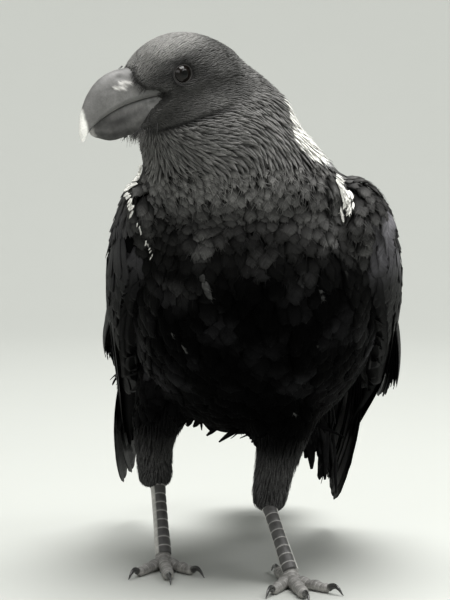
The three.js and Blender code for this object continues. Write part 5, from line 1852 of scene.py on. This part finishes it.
def make_tufts():
    """Loose feathers that stand away: flank over each thigh's rear edge and at the right wing's rear."""
    c = Coat()

    def tuft(n, root, spread, tip, tspread, half, tint, face):
        rr = np.array(root, float) + rng.normal(0, 1, (n, 3)) * np.array(spread)
        tt = np.array(tip, float) + rng.normal(0, 1, (n, 3)) * np.array(tspread)
        turn = rng.random((n, 1))
        line_blades(c, rr, tt, half * (0.8 + 0.4 * rng.random(n)), np.array(face) * (1 - turn) + np.array((1.0 if root[0] > 0 else -1.0, -0.15, 0.35)) * turn, 1.5, tint, kind="soft", rows=8, cols=5, thick=0.25,
                    camber=0.25, ridge=0.1, ragged=0.3)

    dark = np.array([0.004, 0.004, 0.0042])
    tuft(26, (44, 56, 120), (6, 8, 5), (50, 64, 90), (6, 7, 6), 3.6, dark, (0.2, -1, 0.1))
    tuft(26, (53, 84, 98), (5, 8, 6), (58, 98, 66), (5, 7, 7), 3.2, dark * 1.6, (0.2, -1, 0.1))
    tuft(22, (59, 116, 76), (4, 8, 6), (62, 136, 46), (3.5, 6, 6), 2.8, dark * 1.6, (0.2, -1, 0.1))
    tuft(24, (-26, 40, 112), (9, 6, 3), (-27, 42, 95), (11, 6, 2.0), 2.6, dark, (0, -1, 0.1))
    tuft(44, (14, 28, 108), (15, 6, 3), (15, 30, 89), (16, 6, 2.5), 2.4, dark, (0, -1, 0.1))
    tuft(18, (-75, 112, 122), (1.5, 4, 3.5), (-84, 115, 113), (1.6, 3, 3.5), 0.8, dark, (-0.6, -1, 0.1))
    tuft(12, (-72, 132, 110), (4, 6, 10), (-79, 150, 84), (3, 6, 12), 4.0, dark, (-0.6, -1, 0.1))
    # a few displaced feathers that show their pale bases
    for at, length, half, tone, up_ in (((-24, -61, 201), 13, 2.6, 0.052, 4.6), ((-21.5, -61, 199), 13, 2.4, 0.036, 4.2), ((-26, -61, 203), 9, 2.2, 0.030, 4.0), ((43.5, -60, 194), 8, 2.0, 0.026, 3.4), ((46, -59, 189), 6, 1.8, 0.02, 3.4),
                                        ((-38, -40, 158), 9, 0.9, 0.05, 4.0), ((30, -14, 116), 8, 1.0, 0.04, 4.0), ((60, -48, 206), 7, 1.6, 0.02, 3.4),
                                        ((-44, -38, 166), 7, 0.8, 0.04, 4.0), ((38, -40, 166), 8, 1.8, 0.014, 3.4)):
        r = BODY.near(D(np.array([at], float)))
        lay(c, r, np.zeros(1, int), np.array([length * 1.0]), np.array([half * 1.0]), "soft", 9, 5, 1.5, up_,
            lambda p, lab: np.repeat(np.array([[tone, tone, tone * 0.98]]), len(p), 0), cup=0.2, thick=0.25, swing=0.4, edge=0.9, tipc=1.0,
            root_shade=0.3, ridge=0.1, markings=False, fray=2.0, vary=0.1, fringe=7, ragged=0.3,
            lie_fn=lambda p, lab: np.repeat(np.array([[0.55, 0.0, -0.83]]), len(p), 0))
    c.write("coat_tufts", M_BELLY, "plumage")


make_tufts()
make_tail()


# ------------------------------------------------------------------ legs
def frame_tube(path, radius_fn, around, twist=0.0, front=np.array([0, -1.0, 0])):
    n = len(path)
    tan = unit(np.gradient(path, axis=0))
    f = unit(front - (tan @ front)[:, None] * tan)
    s = np.cross(tan, f)
    a = 2 * np.pi * np.arange(around) / around
    t = np.linspace(0, 1, n)
    r = radius_fn(t[:, None], a[None])
    return path[:, None] + (f[:, None] * np.cos(a)[None, :, None] + s[:, None] * np.sin(a)[None, :, None]) * r[..., None]


def ang(a):
    return (a + np.pi) % (2 * np.pi) - np.pi


def make_tarsus(name):
    a0, b0 = np.array(ANKLE[name], float), np.array(FOOT[name]["at"], float)
    t = np.linspace(-0.12, 1.03, 150)
    path = a0 + (b0 - a0) * t[:, None]
    turn = {"left": -0.02, "right": -0.62}[name]

    def radius(tt, a):
        q = -0.12 + 1.15 * tt
        r = np.where(q < 0.3, TARSUS["top"] + (TARSUS["shaft"] - TARSUS["top"]) * sstep(0, 0.3, q),
                     TARSUS["shaft"] + (TARSUS["foot"] - TARSUS["shaft"]) * sstep(0.62, 0.96, q))
        r = r * (1 + 0.05 * np.cos(2 * (a - turn)))
        n = 9.5
        ph = (q * n) % 1.0
        front = np.clip(np.cos(ang(a - turn)) * 1.6 - 0.35, 0, 1) ** 0.5
        plate = np.clip(np.minimum(ph / 0.12, (1 - ph) / 0.28), 0, 1)
        r = r + 0.42 * front * (plate - 0.6)
        crease = np.exp(-((np.abs(ang(a - turn)) - 1.25) / 0.10) ** 2)
        r = r - 0.30 * crease
        rear = np.exp(-((np.abs(ang(a - turn)) - np.pi) / 0.45) ** 2)
        return r + 0.35 * rear

    rings = frame_tube(path, radius, 64)
    tt = np.linspace(0, 1, 150)[:, None]
    q = -0.12 + 1.15 * tt
    a = (2 * np.pi * np.arange(64) / 64)[None]
    ph = (q * 9.5) % 1.0
    front = np.clip(np.cos(ang(a - turn)) * 1.6 - 0.35, 0, 1) ** 0.5
    front = sstep(0.25, 0.5, front)
    border = 1 - np.clip(np.minimum(ph / 0.1, (1 - ph) / 0.1), 0, 1)
    border = np.maximum(border, np.exp(-((np.abs(ang(a - turn)) - 1.16) / 0.10) ** 2))
    plate = np.array([0.060, 0.058, 0.057])
    pale = np.array([0.50, 0.49, 0.47])
    flank = np.array([0.46, 0.45, 0.43])
    c = flank * (1 - front[..., None]) + plate * front[..., None]
    c = c * (1 - border[..., None] * 0.75) + pale * border[..., None] * 0.75
    c = c * (1 + 0.15 * wavy(rings, 0.8, 40))[..., None]
    keep = rings[..., 2] > 2.4
    rings[..., 2] = np.maximum(rings[..., 2], 2.2)
    ob = link("tarsus_%s_skin" % name, tube_mesh("tarsus_%s_skin" % name, D(rings), {"Tint": np.clip(c, 0.003, 1)}))
    piece(ob, M_LEG, "leg_scales", "tarsus_" + name)


def make_toe(name, n):
    f, spec = FOOT[name], TOES[n]
    sgn = -1 if name == "left" else 1
    ang_ = math.radians(f["heading"] + sgn * spec["spread"])
    d = np.array([math.sin(ang_), -math.cos(ang_), 0])
    pads = {1: 2, 3: 3.5}.get(n, 3)
    N, M = 110, 36
    s = np.linspace(0, 1, N)
    r = spec["r"] * (1 - 0.24 * s) * (1 + 0.09 * np.cos(2 * np.pi * pads * s))
    h = np.where(s < 0.2, 7.6 + (r * 0.88 - 7.6) * (np.minimum(s, 0.2) / 0.2) ** 0.8, r * 0.88)
    at = np.array(f["at"], float)
    path = np.stack([at[0] + d[0] * (1 + spec["length"] * s), at[1] + d[1] * (1 + spec["length"] * s), h], 1)
    a = (2 * np.pi * np.arange(M) / M)[None]
    count = round(spec["length"] / 3.0)
    ph = (s * count) % 1.0
    top = np.clip(np.cos(a) * 1.5 - 0.1, 0, 1) ** 0.5
    plate = np.clip(np.minimum(ph / 0.14, (1 - ph) / 0.3), 0, 1)[:, None]
    under = np.clip(-np.cos(a), 0, 1)
    cap = np.clip((1 - s) / 0.06, 0.0, 1)[:, None] ** 0.5
    R = r[:, None] * (0.35 + 0.65 * cap) + 0.34 * top * (plate - 0.6) + 0.2 * under * np.cos(2 * np.pi * pads * 3 * s)[:, None]
    side = np.array([-d[1], d[0], 0])
    tan = unit(np.gradient(path, axis=0))
    upv = unit(np.cross(tan, side))
    upv = np.where(upv[:, 2:3] < 0, -upv, upv)
    rings = path[:, None] + (upv[:, None] * np.cos(a)[..., None] + side[None, None] * np.sin(a)[..., None]) * R[..., None]
    rings[..., 2] = np.maximum(rings[..., 2], 0.0)
    border = (1 - np.clip(np.minimum(ph / 0.12, (1 - ph) / 0.12), 0, 1))[:, None]
    plate_c, pale, sole = np.array([0.17, 0.165, 0.158]), np.array([0.45, 0.44, 0.42]), np.array([0.30, 0.29, 0.275])
    topm = sstep(0.25, 0.5, top)
    c = sole * (1 - topm[..., None]) + plate_c * topm[..., None]
    c = c * (1 - 0.7 * border[..., None]) + pale * 0.7 * border[..., None]
    c = np.broadcast_to(c, rings.shape) * (1 + 0.18 * wavy(rings, 0.9, 50 + n))[..., None]
    nm = "toe_%s_%d" % (name, n)
    ob = link(nm + "_skin", tube_mesh(nm + "_skin", D(rings), {"Tint": np.clip(c, 0.003, 1)}))
    piece(ob, M_LEG, "leg_scales", nm)
    # the claw: arched, keeled above, ending in a fine point
    N, M = 40, 24
    q = np.linspace(0, 1, N)
    rc = 2.3 * (1 - q) ** 0.8 + 0.16
    arch = 2.7 * np.sin(np.pi * q) + 0.5 * (1 - q) - 3.2 * q**1.6
    L = spec["claw"] * q + 0.32 + 0.4
    end = path[-1]
    cz = np.maximum(end[2] + arch, rc + 0.25)
    cp = np.stack([end[0] + d[0] * L, end[1] + d[1] * L, cz], 1)
    tan = unit(np.gradient(cp, axis=0))
    upv = unit(np.cross(tan, side))
    upv = np.where(upv[:, 2:3] < 0, -upv, upv)
    a = (2 * np.pi * np.arange(M) / M)[None]
    RR = rc[:, None] * np.where(np.cos(a) > 0, 1.05, 0.9)
    rings = cp[:, None] + upv[:, None] * (np.cos(a) * RR)[..., None] + side[None, None] * (np.sin(a) * rc[:, None] * 0.78)[..., None]
    rings[..., 2] = np.maximum(rings[..., 2], 0.05)
    base = np.array([0.020, 0.0195, 0.019]) + np.array([0.10, 0.097, 0.09]) * sstep(0.12, 0.0, q)[:, None]
    c = np.broadcast_to(base[:, None], rings.shape) * (1 + 0.2 * wavy(rings, 1.2, 60 + n))[..., None]
    cn = "claw_%s_%d" % (name, n)
    ob = link(cn + "_horn", tube_mesh(cn + "_horn", D(rings), {"Tint": np.clip(c, 0.003, 1)}))
    piece(ob, M_CLAW, "claw_horn", cn)


for _name in ("left", "right"):
    make_tarsus(_name)
    for _n in TOES:
        make_toe(_name, _n)


# ------------------------------------------------------------------ sizes and the end
_lo, _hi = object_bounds()
